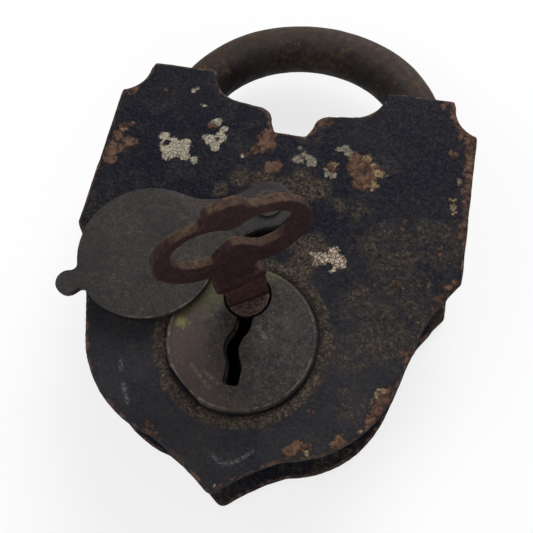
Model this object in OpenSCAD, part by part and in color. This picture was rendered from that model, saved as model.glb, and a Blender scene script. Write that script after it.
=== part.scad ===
// Old iron lever padlock with a shield-shaped case, a hinged bow shackle, a swinging
// keyhole cover and its key left turned in the lock.
// Millimetres. Z = 0 is the outer face of the back plate, +Z leaves the front plate
// and +Y runs towards the shackle. X = 0, Y = 0 is the middle of the case's widest line.

/* [Case] */
// Half the width of the case at its two side corners
half_w = 40; // [36:0.5:48]
// Straight flank from the side corner up to the foot of the ear
flank_h = 34.2; // [31:0.2:42]
// Height of the ears above the widest line
ear_top = 42.3; // [40:0.1:52]
// Tip of the shield below the widest line
tip_y = 48.5; // [44:0.5:58]
// Overall thickness over both plates
case_t = 22.5; // [19.5:0.5:27]
// Thickness of each plate
plate_t = 1.8; // [1.2:0.1:2.4]
// How far the plates stand out past the side wall
overhang = 3.5; // [2:0.25:4.5]
// Thickness of the side wall strip
rim_t = 2.0; // [1.2:0.1:3]
// How far the body below the side corners leans to the left
body_lean = 0.45; // [0:0.05:0.8]
// How far the hand-fitted back plate lies out of line, to the left and downwards
back_shift = [-0.3, -0.5]; // [-0.6:0.1:0.6]

/* [Shackle] */
// Diameter of the round shackle bar
bar_d = 10.4; // [7.8:0.1:11.4]
// Radius of the bow's middle line
bow_r = 29.2; // [27.5:0.1:29.6]
// Height at which the legs run into the round bow
leg_top = 31.2; // [31:0.05:38]
// Sideways lean of the worn shackle
shackle_shift = 1.0; // [0:0.1:1.2]
// Lower end of the free leg
toe_y = 20; // [18:0.25:24]
// Rivet that the shackle turns on
shackle_pin_d = 6.8; // [5:0.1:8]

/* [Keyhole boss] */
// Diameter of the round boss
boss_d = 29.6; // [27:0.2:32]
// Height of the boss above the front plate
boss_h = 1.8; // [1:0.1:2.6]
// Middle of the boss below the widest line
boss_y = 19.25; // [18:0.1:21]
// Middle of the round keyhole below the widest line
key_y = 10.65; // [10:0.05:12.5]
// Diameter of the round keyhole
keyhole_d = 9.4; // [8.6:0.1:11]
// Reach of the keyhole slot below the middle of the round hole
slot_reach = 18.2; // [15:0.1:18.6]
// Width of the keyhole slot
slot_w = 2.9; // [2.6:0.1:3.4]
// Sideways step of the crooked slot
slot_step = 1.35; // [0.6:0.05:1.6]

/* [Keyhole cover] */
// Diameter of the round cover
cover_d = 28.7; // [25:0.1:29]
// Thickness of the cover
cover_t = 1.9; // [1.2:0.1:2.4]
// Distance from the cover's rivet to the middle of its round part
cover_arm = 26.25; // [25:0.1:27.5]
// Diameter of the lobe around the cover's rivet
lobe_d = 10.6; // [9:0.2:12]
// Rivet of the cover above the widest line
cover_y = 8.8; // [8:0.1:10]
// Angle by which the cover is swung away from the keyhole
cover_swing = 56.6; // [50:0.2:70]
// Diameter of the thumb tab
tab_d = 5.15; // [3.6:0.1:6]

/* [Key] */
// Clearance of the key's hollow stem in the round keyhole, on each side
stem_clear = 0.3; // [0.2:0.05:0.6]
// Diameter of the pin that the hollow stem slides over
drill_pin_d = 3.2; // [2:0.1:4]
// Thickness of the flat shank and bow
key_t = 1.9; // [1.6:0.1:3]
// Width of the bow
bow_w = 28.5; // [24:0.1:32]
// Height of the bow
bow_h = 18.9; // [16:0.1:22]
// Middle of the bow above the front plate
bow_z = 27.45; // [26:0.05:34]
// Angle by which the key is turned away from the slot
key_turn = 58; // [52:1:66]
// Clearance of the bit in the slot, on each side
bit_clear = 0.35; // [0.2:0.05:0.5]

/* [Works] */
// Angle by which the key has pushed the latch aside
latch_turn = 12; // [10:0.5:14]
// Thickness of the latch
latch_t = 4.0; // [3:0.1:5]
// Thickness of each tumbler
tumbler_t = 1.7; // [1.2:0.1:1.8]
// Diameter of the post that the latch and tumblers turn on
post_d = 5.0; // [4:0.1:5.6]
// Radial clearance of everything that turns on a pin
run_clear = 0.05; // [0.02:0.01:0.09]
// Clearance between flat pieces that move past each other
side_clear = 0.2; // [0.1:0.05:0.25]
// Clearance that the key's bit leaves to the pieces it has pushed
push_clear = 0.35; // [0.3:0.05:0.6]

/* [Hidden] */
$fn = 64;

// Levels along Z
inner_z = plate_t;
front_in_z = case_t - plate_t;
mid_z = case_t / 2;
boss_top = case_t + boss_h;
cover_gap = 0.3;
cover_z = boss_top + cover_gap;
poke = 1;

// Colours of the finishes
japan = [0.07, 0.075, 0.09];
old_iron = [0.17, 0.14, 0.12];
boss_iron = [0.20, 0.185, 0.165];
rusty = [0.23, 0.13, 0.10];
spring_iron = [0.25, 0.25, 0.27];

// ---- Case outline ----
notch_half = 3.6;
notch_y = 28.2;
shoulder_c = [8, 31];
shoulder_r = 3.1;
shoulder_span = [180, 100];
scoop_c = [12.2, ear_top - 0.1];
scoop_r = 7.4;
scoop_span = [-88, -4];
ear_in_x = 20.0;
ear_out_x = 34.0;
foot_c = [half_w + 1.6, flank_h + 6.65];
foot_r = 7.1;
foot_span = [180, 255];
corner_cut = [2.3, 3.4];
waist_c = [half_w + 17.1, -17.9];
waist_r = 24;
waist_span = [144, 172];
chin_c = [half_w - 31.5, 30.7 - tip_y];
chin_r = 23;
chin_span = [-16, -80];
tip_end = [0.8, 0.3 - tip_y];
arc_step = 6;

function arc(c, r, span) =
    let (n = max(2, ceil(abs(span[1] - span[0]) / arc_step)))
    [for (i = [0:n]) let (a = span[0] + (span[1] - span[0]) * i / n) c + r * [cos(a), sin(a)]];

// Gentle hollow from the chin's end down to the blunt tip
tip_r = 60;
tip_steps = 7;
chin_end = chin_c + chin_r * [cos(chin_span[1]), sin(chin_span[1])];
function hollow_to_tip(p, q, r) =
    let (d = norm(q - p), m = (p + q) / 2, u = (q - p) / d)
    let (c = m + sqrt(r * r - d * d / 4) * [-u[1], u[0]])
    let (a0 = atan2(p[1] - c[1], p[0] - c[0]), a1 = atan2(q[1] - c[1], q[0] - c[0]))
    [for (i = [1:tip_steps]) let (a = a0 + (a1 - a0) * i / tip_steps) c + r * [cos(a), sin(a)]];

right_half = concat(
    [[notch_half, notch_y]],
    arc(shoulder_c, shoulder_r, shoulder_span),
    arc(scoop_c, scoop_r, scoop_span),
    [[ear_in_x, ear_top], [ear_out_x, ear_top]],
    arc(foot_c, foot_r, foot_span),
    [[half_w, 0], [half_w - corner_cut[0], -corner_cut[1]]],
    arc(waist_c, waist_r, waist_span),
    arc(chin_c, chin_r, chin_span),
    hollow_to_tip(chin_end, tip_end, tip_r));

function flipped(pts) = [for (i = [len(pts) - 1:-1:0]) [-pts[i][0], pts[i][1]]];

// The lean grows over the first millimetres below the corners and fades at the tip
lean_in = 12;
lean_out = 5;
function leaned(p) =
    [p[0] - body_lean * max(0, min(1, -p[1] / lean_in)) * min(1, (tip_y + p[1]) / lean_out), p[1]];

outline = [for (p = concat(right_half, [[0, -tip_y]], flipped(right_half))) leaned(p)];

module case_outline() { polygon(outline); }

// ---- Places ----
key_c = [-0.95, -key_y];
cover_c = [-0.6, cover_y];
boss_c = [-0.3, -boss_y];
pivot_c = [30, 31.7];
post_c = [-19, 8];
stop_c = [-9.5, 13];
spring_c = [-26.5, -6];
rivet_spots = [[24.1, 2.4], [-24.1, 2.4], [5.2, 19.8], [-5.2, 19.8],
               [19.5, -26.5], [-19.5, -26.5], [0, -37.5]];
rivet_d = 2.6;
pillar_d = 4;

// ---- Keyhole slot and bit ----
slot_mid = 10.6;
slot_soft = 2.7;
slot_lean = 0.5;
slot_steps = 18;
slot_root = 2;
function slot_x(r) = slot_lean - slot_step * exp(-pow(abs(r - slot_mid) / slot_soft, 3));
function slot_side(half, side, r0, r1) =
    [for (i = [0:slot_steps]) let (r = r0 + (r1 - r0) * i / slot_steps) [slot_x(r) + side * half, -r]];
function slot_pts(half, r0, r1) =
    concat(slot_side(half, -1, r0, r1), [for (i = [slot_steps:-1:0]) slot_side(half, 1, r0, r1)[i]]);

module keyhole(z0, h) {
    translate([key_c[0], key_c[1], z0]) {
        cylinder(h = h, d = keyhole_d);
        linear_extrude(height = h) polygon(slot_pts(slot_w / 2, slot_root, slot_reach));
    }
}

// Bar with round ends, as an outline
end_steps = 12;
function link(p, rp, q, rq) =
    let (d = norm(q - p), a = atan2(q[1] - p[1], q[0] - p[0]), b = acos((rp - rq) / d))
    let (n = end_steps)
    concat([for (i = [0:n]) let (t = a + b + (360 - 2 * b) * i / n) p + rp * [cos(t), sin(t)]],
           [for (i = [0:n]) let (t = a - b + 2 * b * i / n) q + rq * [cos(t), sin(t)]]);

module link_bar(p, rp, q, rq, z0, h) {
    translate([0, 0, z0]) linear_extrude(height = h) polygon(link(p, rp, q, rq));
}

module peg(c, z0, z1, d) { translate([c[0], c[1], z0]) cylinder(h = z1 - z0, d = d); }

// ---- Case ----
module plate(z0, shift) {
    difference() {
        translate([shift[0], shift[1], z0]) linear_extrude(height = plate_t) case_outline();
        for (c = rivet_spots) peg(c, z0 - poke, z0 + plate_t + poke, rivet_d);
        peg(pivot_c, z0 - poke, z0 + plate_t + poke, shackle_pin_d);
    }
}

module back_plate() {
    color(japan) difference() {
        plate(0, back_shift);
        peg(key_c, -poke, plate_t + poke, drill_pin_d);
        peg(post_c, -poke, plate_t + poke, post_d);
        peg(stop_c, -poke, plate_t + poke, stop_d);
        peg(spring_c, -poke, plate_t + poke, spring_post_d);
    }
}

module front_plate() {
    color(japan) difference() {
        plate(front_in_z, [0, 0]);
        keyhole(front_in_z - poke, plate_t + 2 * poke);
        peg(cover_c, front_in_z - poke, case_t + poke, cover_pin_d);
    }
}

// The wall is open at the ears, where the shackle's legs pass: one strip bends round the
// sides and the tip, and a second strip closes the top between the legs
ear_gap_y = 22;
top_wall_half = 18.2;
module wall_strip() {
    translate([0, 0, inner_z]) linear_extrude(height = front_in_z - inner_z) difference() {
        offset(delta = -overhang) case_outline();
        offset(delta = -overhang - rim_t) case_outline();
    }
}

module case_rim() {
    color(japan) difference() {
        wall_strip();
        translate([-2 * half_w, ear_gap_y, 0]) cube([4 * half_w, ear_top, case_t]);
    }
}

module top_rim() {
    color(japan) intersection() {
        wall_strip();
        translate([-top_wall_half, ear_gap_y, 0]) cube([2 * top_wall_half, ear_top, case_t]);
    }
}

module case_rivets() {
    color(old_iron) for (c = rivet_spots) {
        peg(c, 0, case_t, rivet_d);
        peg(c, inner_z, front_in_z, pillar_d);
    }
}

boss_edge = 0.5;
module keyhole_boss() {
    color(boss_iron) difference() {
        translate([boss_c[0], boss_c[1], case_t]) union() {
            cylinder(h = boss_h - boss_edge, d = boss_d);
            translate([0, 0, boss_h - boss_edge])
                cylinder(h = boss_edge, d1 = boss_d, d2 = boss_d - 2 * boss_edge);
        }
        keyhole(case_t - poke, boss_h + 2 * poke);
    }
}

// ---- Shackle ----
bar_r = bar_d / 2;
eye_d = 16;
eye_h = bar_d + 1;
leg_min = 2;
notch_depth = 2.6;
notch_lo = toe_y + 4;
notch_hi = notch_lo + 5;

module leg(x, y0) {
    translate([x, y0, 0]) rotate([-90, 0, 0]) cylinder(h = leg_top - y0, r = bar_r);
}

module shackle() {
    color(old_iron) difference() {
        union() {
            translate([shackle_shift, 0, mid_z]) {
                translate([0, leg_top, 0])
                    rotate_extrude(angle = 180) translate([bow_r, 0]) circle(r = bar_r);
                leg(-bow_r, toe_y);
                if (leg_top > pivot_c[1] + leg_min) leg(bow_r, pivot_c[1]);
            }
            peg(pivot_c, mid_z - eye_h / 2, mid_z + eye_h / 2, eye_d);
        }
        peg(pivot_c, 0, case_t, shackle_pin_d + 2 * run_clear);
        translate([shackle_shift - bow_r + bar_r - notch_depth, notch_lo, 0])
            cube([bar_d, notch_hi - notch_lo, case_t]);
    }
}

module shackle_rivet() { color(old_iron) peg(pivot_c, 0, case_t, shackle_pin_d); }

// Block that the free leg's end comes down on
block_gap = 0.3;
block_w = 9;
block_d = 5;
module toe_block() {
    color(old_iron) translate([shackle_shift - bow_r - block_w / 2, toe_y - block_gap - block_d, inner_z])
        cube([block_w, block_d, front_in_z - inner_z]);
}

// ---- Swinging cover ----
cover_pin_d = 3.6;
cover_head_d = 6;
cover_head_h = 0.4;
spacer_d = 8.4;
cover_blend = 14;
tab_blend = 1.2;
tab_share = 0.48;
tab_out = cover_d / 2 + tab_share * tab_d;

module blended(r) { offset(r = -r) offset(delta = r) children(); }

module cover_shape() {
    blended(cover_blend) {
        circle(d = lobe_d);
        translate([0, -cover_arm]) circle(d = cover_d);
    }
    blended(tab_blend) {
        translate([0, -cover_arm]) circle(d = cover_d);
        translate([0, -cover_arm - tab_out]) circle(d = tab_d);
    }
}

module drop_cover() {
    color(boss_iron) translate([cover_c[0], cover_c[1], cover_z]) rotate([0, 0, -cover_swing]) difference() {
        linear_extrude(height = cover_t) cover_shape();
        translate([0, 0, -poke]) cylinder(h = cover_t + 2 * poke, d = cover_pin_d + 2 * run_clear);
    }
}

module cover_spacer() {
    color(old_iron) difference() {
        peg(cover_c, case_t, cover_z - side_clear / 2, spacer_d);
        peg(cover_c, case_t - poke, cover_z + poke, cover_pin_d);
    }
}

module cover_rivet() {
    head_z = cover_z + cover_t + side_clear / 2;
    color(old_iron) {
        peg(cover_c, front_in_z, head_z, cover_pin_d);
        peg(cover_c, head_z, head_z + cover_head_h, cover_head_d);
    }
}

// ---- Key ----
stem_r = keyhole_d / 2 - stem_clear;
stem_z0 = inner_z + 0.8;
stem_end = boss_top + 0.1;
pin_top = front_in_z - 4.2;
bore_top = pin_top + 1;
bow_c = [-0.27, case_t + bow_z];
lobe_r = bow_h / 2;
lobe_x = bow_w / 2 - lobe_r;
bow_blend = 1.8;
eye_left = [-4.85, 1.95];
eye_left_r = 5.95;
eye_right = [5.15, 1.75];
eye_right_r = 5.8;
bridge_r = 3.3;
bridge_up = 2.75;
hole_blend = 1.2;
hole_fine = 48;
hump = [[-5, -4.8], [-4.2, -4], [-3.3, -3], [-2, -1.7], [-0.9, -0.45], [-0.2, 0.05], [0.5, 0.1],
        [1.3, -0.45], [2.3, -1.5], [3.3, -2.65], [4.4, -3.8], [5, -4.6], [5, -7], [-5, -7]];
knob_left = [-1.6, 11.2];
knob_left_r = 2.2;
knob_right = [0.9, 10.9];
knob_right_r = 2.6;
knob_flank = [[3.2, 11], [4.2, 10.55], [6, 10.1], [8.5, 9.6], [10.6, 8.2], [12.4, 5.9],
              [9, 3], [4, 4], [0, 4]];
collar_c = [-0.6, case_t + 12.2];
collar_end = [3.7, 0.7];
collar_r = 1.35;
collar_t = 2.9;
shank_half = 4.15;
web_right = 2.1;
web_left = 5.2;
web_z = case_t + 16.4;
web_top = bow_c[1] - lobe_r + bow_blend;
bit_root = 1;
bit_z0 = inner_z + 2.4;
bit_z1 = front_in_z - 1.1;
bit_reach = slot_reach - 0.8;
bit_half = slot_w / 2 - bit_clear;
ward_in = 9.0;
ward_out = 10.4;
ward_z = front_in_z - 4.5;
ward_clear = 0.35;
tip_cut = 0.8;

// Kidney-shaped hole: two round lobes joined along the top, with a worn hump between them
module bow_hole() {
    translate(bow_c) blended(hole_blend) difference() {
        union() {
            translate(eye_left) circle(r = eye_left_r, $fn = hole_fine);
            translate(eye_right) circle(r = eye_right_r, $fn = hole_fine);
            translate([0, bridge_up]) circle(r = bridge_r, $fn = hole_fine);
        }
        polygon(hump);
    }
}

module bow_outline() {
    difference() {
        blended(bow_blend) {
            polygon(link(bow_c - [lobe_x, 0], lobe_r, bow_c + [lobe_x, 0], lobe_r));
            translate(bow_c) {
                polygon(link(knob_left, knob_left_r, knob_right, knob_right_r));
                translate([knob_left[0] - knob_left_r, 0])
                    square([knob_right[0] + knob_right_r - knob_left[0] + knob_left_r, knob_right[1]]);
                polygon(knob_flank);
            }
            polygon([[-shank_half, stem_end - poke], [shank_half, stem_end - poke], [shank_half, collar_c[1]],
                     [web_right, web_z], [web_right, web_top], [-web_left, web_top],
                     [-web_left, collar_c[1]], [-shank_half, collar_c[1] - collar_r]]);
        }
        bow_hole();
    }
}

module key_flat() {
    rotate([90, 0, 0]) linear_extrude(height = key_t, center = true) bow_outline();
    rotate([90, 0, 0]) linear_extrude(height = collar_t, center = true)
        polygon(link(collar_c - collar_end, collar_r, collar_c + collar_end, collar_r));
}

module key_bit() {
    difference() {
        translate([0, 0, bit_z0]) linear_extrude(height = bit_z1 - bit_z0)
            polygon(slot_pts(bit_half, stem_r - bit_root, bit_reach));
        translate([0, 0, ward_z - ward_clear]) difference() {
            cylinder(h = case_t, r = ward_out + ward_clear);
            translate([0, 0, -poke]) cylinder(h = case_t + 2 * poke, r = ward_in - ward_clear);
        }
        for (z = [tumbler_z(1), tumbler_z(3)]) translate([-slot_w, -bit_reach - tip_cut, z - side_clear / 2])
            cube([2 * slot_w, 2 * tip_cut, tumbler_t + side_clear]);
    }
}

module key() {
    color(rusty) translate([key_c[0], key_c[1], 0]) difference() {
        union() {
            rotate([0, 0, 90 - key_turn]) key_flat();
            translate([0, 0, stem_z0]) cylinder(h = stem_end - stem_z0, r = stem_r);
            rotate([0, 0, -key_turn]) key_bit();
        }
        translate([0, 0, stem_z0 - poke])
            cylinder(h = bore_top - stem_z0 + poke, d = drill_pin_d + 2 * run_clear);
    }
}

module drill_pin() { color(old_iron) peg(key_c, 0, pin_top, drill_pin_d); }

// Ward inside the front plate, open where the bit comes through
ward_gap = 56;
module ward_ring() {
    color(old_iron) translate([key_c[0], key_c[1], ward_z]) rotate([0, 0, -90 + ward_gap / 2])
        rotate_extrude(angle = 360 - ward_gap)
            translate([ward_in, 0]) square([ward_out - ward_in, front_in_z - ward_z]);
}

// ---- Latch and tumblers ----
stack_z = inner_z + 3.2;
function tumbler_z(i) =
    i < 3 ? stack_z + (i - 1) * (tumbler_t + side_clear) : latch_z + latch_t + side_clear;
latch_z = stack_z + 2 * (tumbler_t + side_clear);
stack_top = latch_z + latch_t + side_clear + tumbler_t;
hub_r = 4.4;
arm_hub_r = 4;
tail_r = 2.0;
tail_reach = 13.7;
nose_r = 1.5;
arm_r = 2.4;
nose_root_r = 2.3;
stop_d = 2.4;
ring_in = 3.4;
ring_out = 4.9;
spring_post_d = 2.6;
shoulder_d = 8;

// End of each tail, pushed aside by the bit's flank
bit_dir = [cos(270 - key_turn), sin(270 - key_turn)];
bit_side = [sin(270 - key_turn), -cos(270 - key_turn)];
tail_c = key_c + tail_reach * bit_dir
         + (bit_half - slot_x(tail_reach - tail_r / 2) + tail_r + push_clear) * bit_side;

// The latched nose sits in the shackle's notch; the key has turned it out by latch_turn
nose_clear = 0.4;
nose_latched = [shackle_shift - bow_r + bar_r - notch_depth + nose_r + nose_clear, (notch_lo + notch_hi) / 2];
elbow_latched = nose_latched + [6, -1];
function about_post(p, a) =
    let (d = p - post_c) post_c + [d[0] * cos(a) - d[1] * sin(a), d[0] * sin(a) + d[1] * cos(a)];
nose_c = about_post(nose_latched, -latch_turn);
elbow_c = about_post(elbow_latched, -latch_turn);

module latch_lever() {
    color(old_iron) difference() {
        union() {
            peg(post_c, latch_z, latch_z + latch_t, 2 * hub_r);
            link_bar(post_c, arm_hub_r, tail_c, tail_r, latch_z, latch_t);
            link_bar(post_c, arm_hub_r, elbow_c, arm_r, latch_z, latch_t);
            link_bar(elbow_c, nose_root_r, nose_c, nose_r, latch_z, latch_t);
        }
        peg(post_c, 0, case_t, post_d + 2 * run_clear);
    }
}

module tumbler(i) {
    z0 = tumbler_z(i);
    color(old_iron) difference() {
        union() {
            peg(post_c, z0, z0 + tumbler_t, 2 * hub_r);
            link_bar(post_c, arm_hub_r, tail_c, tail_r, z0, tumbler_t);
            link_bar(post_c, arm_hub_r, stop_c, ring_out, z0, tumbler_t);
        }
        peg(post_c, 0, case_t, post_d + 2 * run_clear);
        peg(stop_c, 0, case_t, 2 * ring_in);
    }
}

module tumbler_1() { tumbler(1); }
module tumbler_2() { tumbler(2); }
module tumbler_3() { tumbler(3); }

module latch_post() {
    color(old_iron) {
        peg(post_c, 0, front_in_z, post_d);
        peg(post_c, inner_z, stack_z - side_clear, shoulder_d);
        peg(post_c, stack_top + side_clear, front_in_z, shoulder_d);
    }
}

module stop_pin() { color(old_iron) peg(stop_c, 0, front_in_z, stop_d); }

module spring_post() { color(old_iron) peg(spring_c, 0, front_in_z, spring_post_d); }

// Curved leaf from the spring post to the back of a tail
leaf_t = 0.6;
leaf_sag = 3.2;
leaf_steps = 14;
leaf_near = 0.65;
leaf_back = 1.5;
leaf_tiny = 0.01;
leaf_inset = 0.3;
tail_dir = (tail_c - post_c) / norm(tail_c - post_c);
leaf_end = tail_c - leaf_back * tail_dir + (tail_r + leaf_near) * [tail_dir[1], -tail_dir[0]];
leaf_start = spring_c + [0, -spring_post_d / 2 - leaf_t / 2];
function leaf_line(t) =
    let (d = leaf_end - leaf_start, n = [d[1], -d[0]] / norm(d))
    leaf_start + d * t + n * leaf_sag * 4 * t * (1 - t);
function leaf_side(s) =
    [for (i = [0:leaf_steps]) let (t = i / leaf_steps,
        g = leaf_line(t + leaf_tiny) - leaf_line(t - leaf_tiny), n = [-g[1], g[0]] / norm(g))
        leaf_line(t) + s * leaf_t / 2 * n];

module leaf_spring(z0, h) {
    translate([0, 0, z0]) linear_extrude(height = h)
        polygon(concat(leaf_side(1), [for (i = [leaf_steps:-1:0]) leaf_side(-1)[i]]));
}

module latch_spring() { color(spring_iron) leaf_spring(latch_z + leaf_inset, latch_t - 2 * leaf_inset); }
module tumbler_spring_1() { color(spring_iron) leaf_spring(tumbler_z(1), tumbler_t); }
module tumbler_spring_2() { color(spring_iron) leaf_spring(tumbler_z(2), tumbler_t); }
module tumbler_spring_3() { color(spring_iron) leaf_spring(tumbler_z(3), tumbler_t); }

back_plate();
case_rim();
top_rim();
front_plate();
case_rivets();
keyhole_boss();
cover_spacer();
cover_rivet();
shackle_rivet();
drill_pin();
ward_ring();
latch_post();
stop_pin();
spring_post();
toe_block();
latch_spring();
tumbler_spring_1();
tumbler_spring_2();
tumbler_spring_3();
shackle();
drop_cover();
key();
latch_lever();
tumbler_1();
tumbler_2();
tumbler_3();
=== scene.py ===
"""Worn shield-shaped iron padlock with its key in the lock.

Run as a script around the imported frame: each operator makes one piece, or a group of like
pieces, in metres and in the frame's own coordinates.
"""

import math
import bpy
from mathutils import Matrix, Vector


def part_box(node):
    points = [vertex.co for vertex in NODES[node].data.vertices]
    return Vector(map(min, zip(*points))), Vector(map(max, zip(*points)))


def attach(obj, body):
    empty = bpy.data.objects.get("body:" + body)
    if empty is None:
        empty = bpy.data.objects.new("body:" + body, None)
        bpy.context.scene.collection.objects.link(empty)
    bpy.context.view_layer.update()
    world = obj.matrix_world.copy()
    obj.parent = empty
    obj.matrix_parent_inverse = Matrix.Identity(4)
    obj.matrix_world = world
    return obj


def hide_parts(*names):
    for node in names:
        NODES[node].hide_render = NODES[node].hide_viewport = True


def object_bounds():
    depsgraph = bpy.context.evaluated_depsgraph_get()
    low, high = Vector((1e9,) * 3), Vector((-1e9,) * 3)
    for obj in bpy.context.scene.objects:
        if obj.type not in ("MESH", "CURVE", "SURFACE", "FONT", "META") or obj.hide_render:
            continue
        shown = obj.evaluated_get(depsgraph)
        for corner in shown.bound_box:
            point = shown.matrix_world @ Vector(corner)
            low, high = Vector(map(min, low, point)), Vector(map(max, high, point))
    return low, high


bl_info = {
    "name": "Worn iron padlock",
    "version": (1, 0, 0),
    "blender": (4, 5, 0),
    "location": "View3D > Sidebar > Padlock",
    "description": "Worn iron pieces and finishes for a shield-shaped lever padlock",
    "category": "Object",
}

import bmesh
import bpy
import numpy as np
from mathutils import Matrix, Quaternion, Vector

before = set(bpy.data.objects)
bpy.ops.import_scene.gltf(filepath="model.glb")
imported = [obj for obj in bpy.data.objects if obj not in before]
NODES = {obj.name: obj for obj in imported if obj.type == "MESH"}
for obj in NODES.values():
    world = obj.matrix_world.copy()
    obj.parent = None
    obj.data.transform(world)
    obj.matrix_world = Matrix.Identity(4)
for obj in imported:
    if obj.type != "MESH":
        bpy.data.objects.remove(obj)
CAD_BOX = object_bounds()
MM = 0.001


def middle(node):
    """Middle of a CAD node's box, in millimetres."""
    lo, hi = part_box(node)
    return (lo + hi) / 2 / MM


# Boxes that the marks and the dirt are set out from, in metres
PLATE_LO, PLATE_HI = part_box("front_plate")
BOSS_LO, BOSS_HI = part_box("keyhole_boss")
EYE_LO, EYE_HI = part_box("shackle_rivet")
# Heights, middles and radii taken from them; lengths in this block are in millimetres
PLATE_BACK = PLATE_LO.z / MM
FACE_Z = PLATE_HI.z / MM
BOSS_TOP = BOSS_HI.z / MM
BOSS_C = middle("keyhole_boss")
BOSS_R = (BOSS_HI.x - BOSS_LO.x) / 2 / MM
PIN_C = middle("cover_rivet")
EYE_C = middle("shackle_rivet")
EYE_R = (EYE_HI.x - EYE_LO.x) / 2 / MM
KEY_C = middle("drill_pin")

# Radius of the cover's round part and its distance from the rivet
COVER_R = 14.35
COVER_ARM = 26.25
# The shackle's bow: middle, radius of its middle line, and height of the bar's middle
BOW_C = (1.0, 31.2)
BOW_R = 29.2
BAR_Z = PLATE_HI.z / MM / 2
# Rust that thickens the inside of the bow, and how far the forged bow is from a half round
INNER_GAIN = 0.6
SQUARE_GAIN = 0.5
# Turn of the key's flat about its stem, its half width, the stem's end and the collar above it
KEY_TURN = math.radians(32)
KEY_HALF = 0.95
STEM_TOP = BOSS_TOP + 0.1
COLLAR_RISE = 9.3
COLLAR_SLOPE = 0.18
# Given back to the rims of the thin plates, which rounding would draw in, and to the left rim
SIDE_GAIN = 0.15
LEFT_GAIN = 0.15
# Way that the boss's rim is beaten flat, and how far from its middle the flat begins
BEATEN = (-0.62, -0.785)
BEATEN_FROM = BOSS_R - 0.8
# Points closer than this, in metres, are welded; edges sharper than this count as edges
WELD = 1e-6
SHARP = math.radians(35)
# Plugs that close the rivets' holes in the front plate: radius of the small ones, how much
# wider the eye's one is than its rivet, and how far above the plate's back they begin
PLUG_R = 1.6
PLUG_MARGIN = 0.3
# Depth of a patch's field where there is no patch
NO_PATCH = -3
# The back plate's outer face, up to this height, stays flat for the lock to lie on
RESTS_BELOW = 0.3


# ---------------------------------------------------------------- sizes and colours
def colour(name, text, value):
    return bpy.props.FloatVectorProperty(
        name=name, description=text, default=value, size=3, min=0, max=1, subtype="COLOR"
    )


def length(name, text, value):
    return bpy.props.FloatProperty(
        name=name, description=text, default=value, min=0, precision=5, unit="LENGTH"
    )


def share(name, text, value):
    return bpy.props.FloatProperty(
        name=name, description=text, default=value, min=0, max=1, subtype="FACTOR"
    )


def angle(name, text, degrees):
    return bpy.props.FloatProperty(
        name=name, description=text, default=math.radians(degrees), subtype="ANGLE"
    )


class PadlockCase(bpy.types.PropertyGroup):
    """Sizes and colours of the two plates and the wall between them."""

    grain: length("Mesh grain", "Size of the faces that the plates are rebuilt with", 0.00042)
    wobble: length("Wobble", "How far the old plate waves up and down", 0.00008)
    japan: colour("Japan black", "Blue-black baked varnish", (0.0058, 0.0064, 0.0125))
    worn: colour("Worn varnish", "Thin, rubbed varnish over iron", (0.0115, 0.0113, 0.0160))
    rust: colour("Rust", "Flaked rust patches", (0.140, 0.080, 0.054))
    grime: colour("Grime", "Granular brown dirt", (0.118, 0.091, 0.064))
    cream: colour("Old paint", "Cream paint flecks", (0.430, 0.382, 0.300))
    gloss: share("Varnish gloss", "Mirror share of the varnish", 0.06)


class PadlockBoss(bpy.types.PropertyGroup):
    """Sizes and colours of the keyhole boss and the swinging cover."""

    grain: length("Mesh grain", "Size of the faces that both are rebuilt with", 0.0003)
    iron: colour("Bare iron", "Dull grey-brown iron", (0.031, 0.0245, 0.0225))
    warm: colour("Warm tarnish", "Pinkish brown tarnish on the left", (0.056, 0.038, 0.034))
    moss: colour("Olive film", "Olive film in the sheltered corners", (0.060, 0.056, 0.026))
    # Bright edges, partly worn bare and partly a painted highlight on their lit side
    edge: colour("Rubbed edge", "Bright rubbed edges", (0.150, 0.123, 0.104))


class PadlockShackle(bpy.types.PropertyGroup):
    """Sizes and colours of the round shackle."""

    grain: length("Mesh grain", "Size of the faces that the shackle is rebuilt with", 0.0004)
    iron: colour("Dark iron", "Dark iron in the middle of the bar", (0.0150, 0.0118, 0.0135))
    # Laid on outside the bow, where it is rubbed, and on the bar's upper half, where it is painted
    # light
    rub_and_light: colour("Rubbed iron", "Lighter brown on the outside of the bow", (0.0365, 0.0230, 0.0155))


class PadlockKey(bpy.types.PropertyGroup):
    """Sizes and colours of the key."""

    grain: length("Mesh grain", "Size of the faces that the key is rebuilt with", 0.00024)
    rust: colour("Dark rust", "Dark red-brown rust on the flats", (0.0215, 0.0082, 0.0092))
    # Laid on the bow's faces turned up and back, as a painted highlight over the rust
    bloom: colour("Orange bloom", "Lighter orange rust on the edges", (0.100, 0.062, 0.042))


class PadlockStage(bpy.types.PropertyGroup):
    """Camera, floor and lights."""

    azimuth: angle("Azimuth", "Camera's turn round the lock", 20.27)
    elevation: angle("Elevation", "Camera's height above the floor", 66.98)
    roll: angle("Roll", "Camera's tilt about its own line of sight", -9.44)
    distance: length("Distance", "Camera to the middle of the front plate", 0.15465)
    lens: bpy.props.FloatProperty(
        name="Lens", description="Focal length", default=51.56, unit="CAMERA"
    )
    floor: length("Floor size", "Width of the pale floor", 4.0)
    pale: colour("Floor colour", "Pale floor", (0.86, 0.86, 0.86))
    sky: share("Sky", "Strength of the even light from all round", 0.42)


# ---------------------------------------------------------------- noise and distances
def corner_value(ix, iy, iz, seed):
    h = (ix * 374761393 + iy * 668265263 + iz * 1442695041 + seed * 1274126177) & 0xFFFFFFFF
    h = ((h ^ (h >> 13)) * 1274126177) & 0xFFFFFFFF
    return ((h ^ (h >> 16)) & 0xFFFF) / 32767.5 - 1.0


# Turn of the noise's own grid, so that its lumps never line up with the lock
GRID_TURN = np.array(Matrix.Rotation(0.9, 3, (0.36, 0.48, 0.80)))


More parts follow.
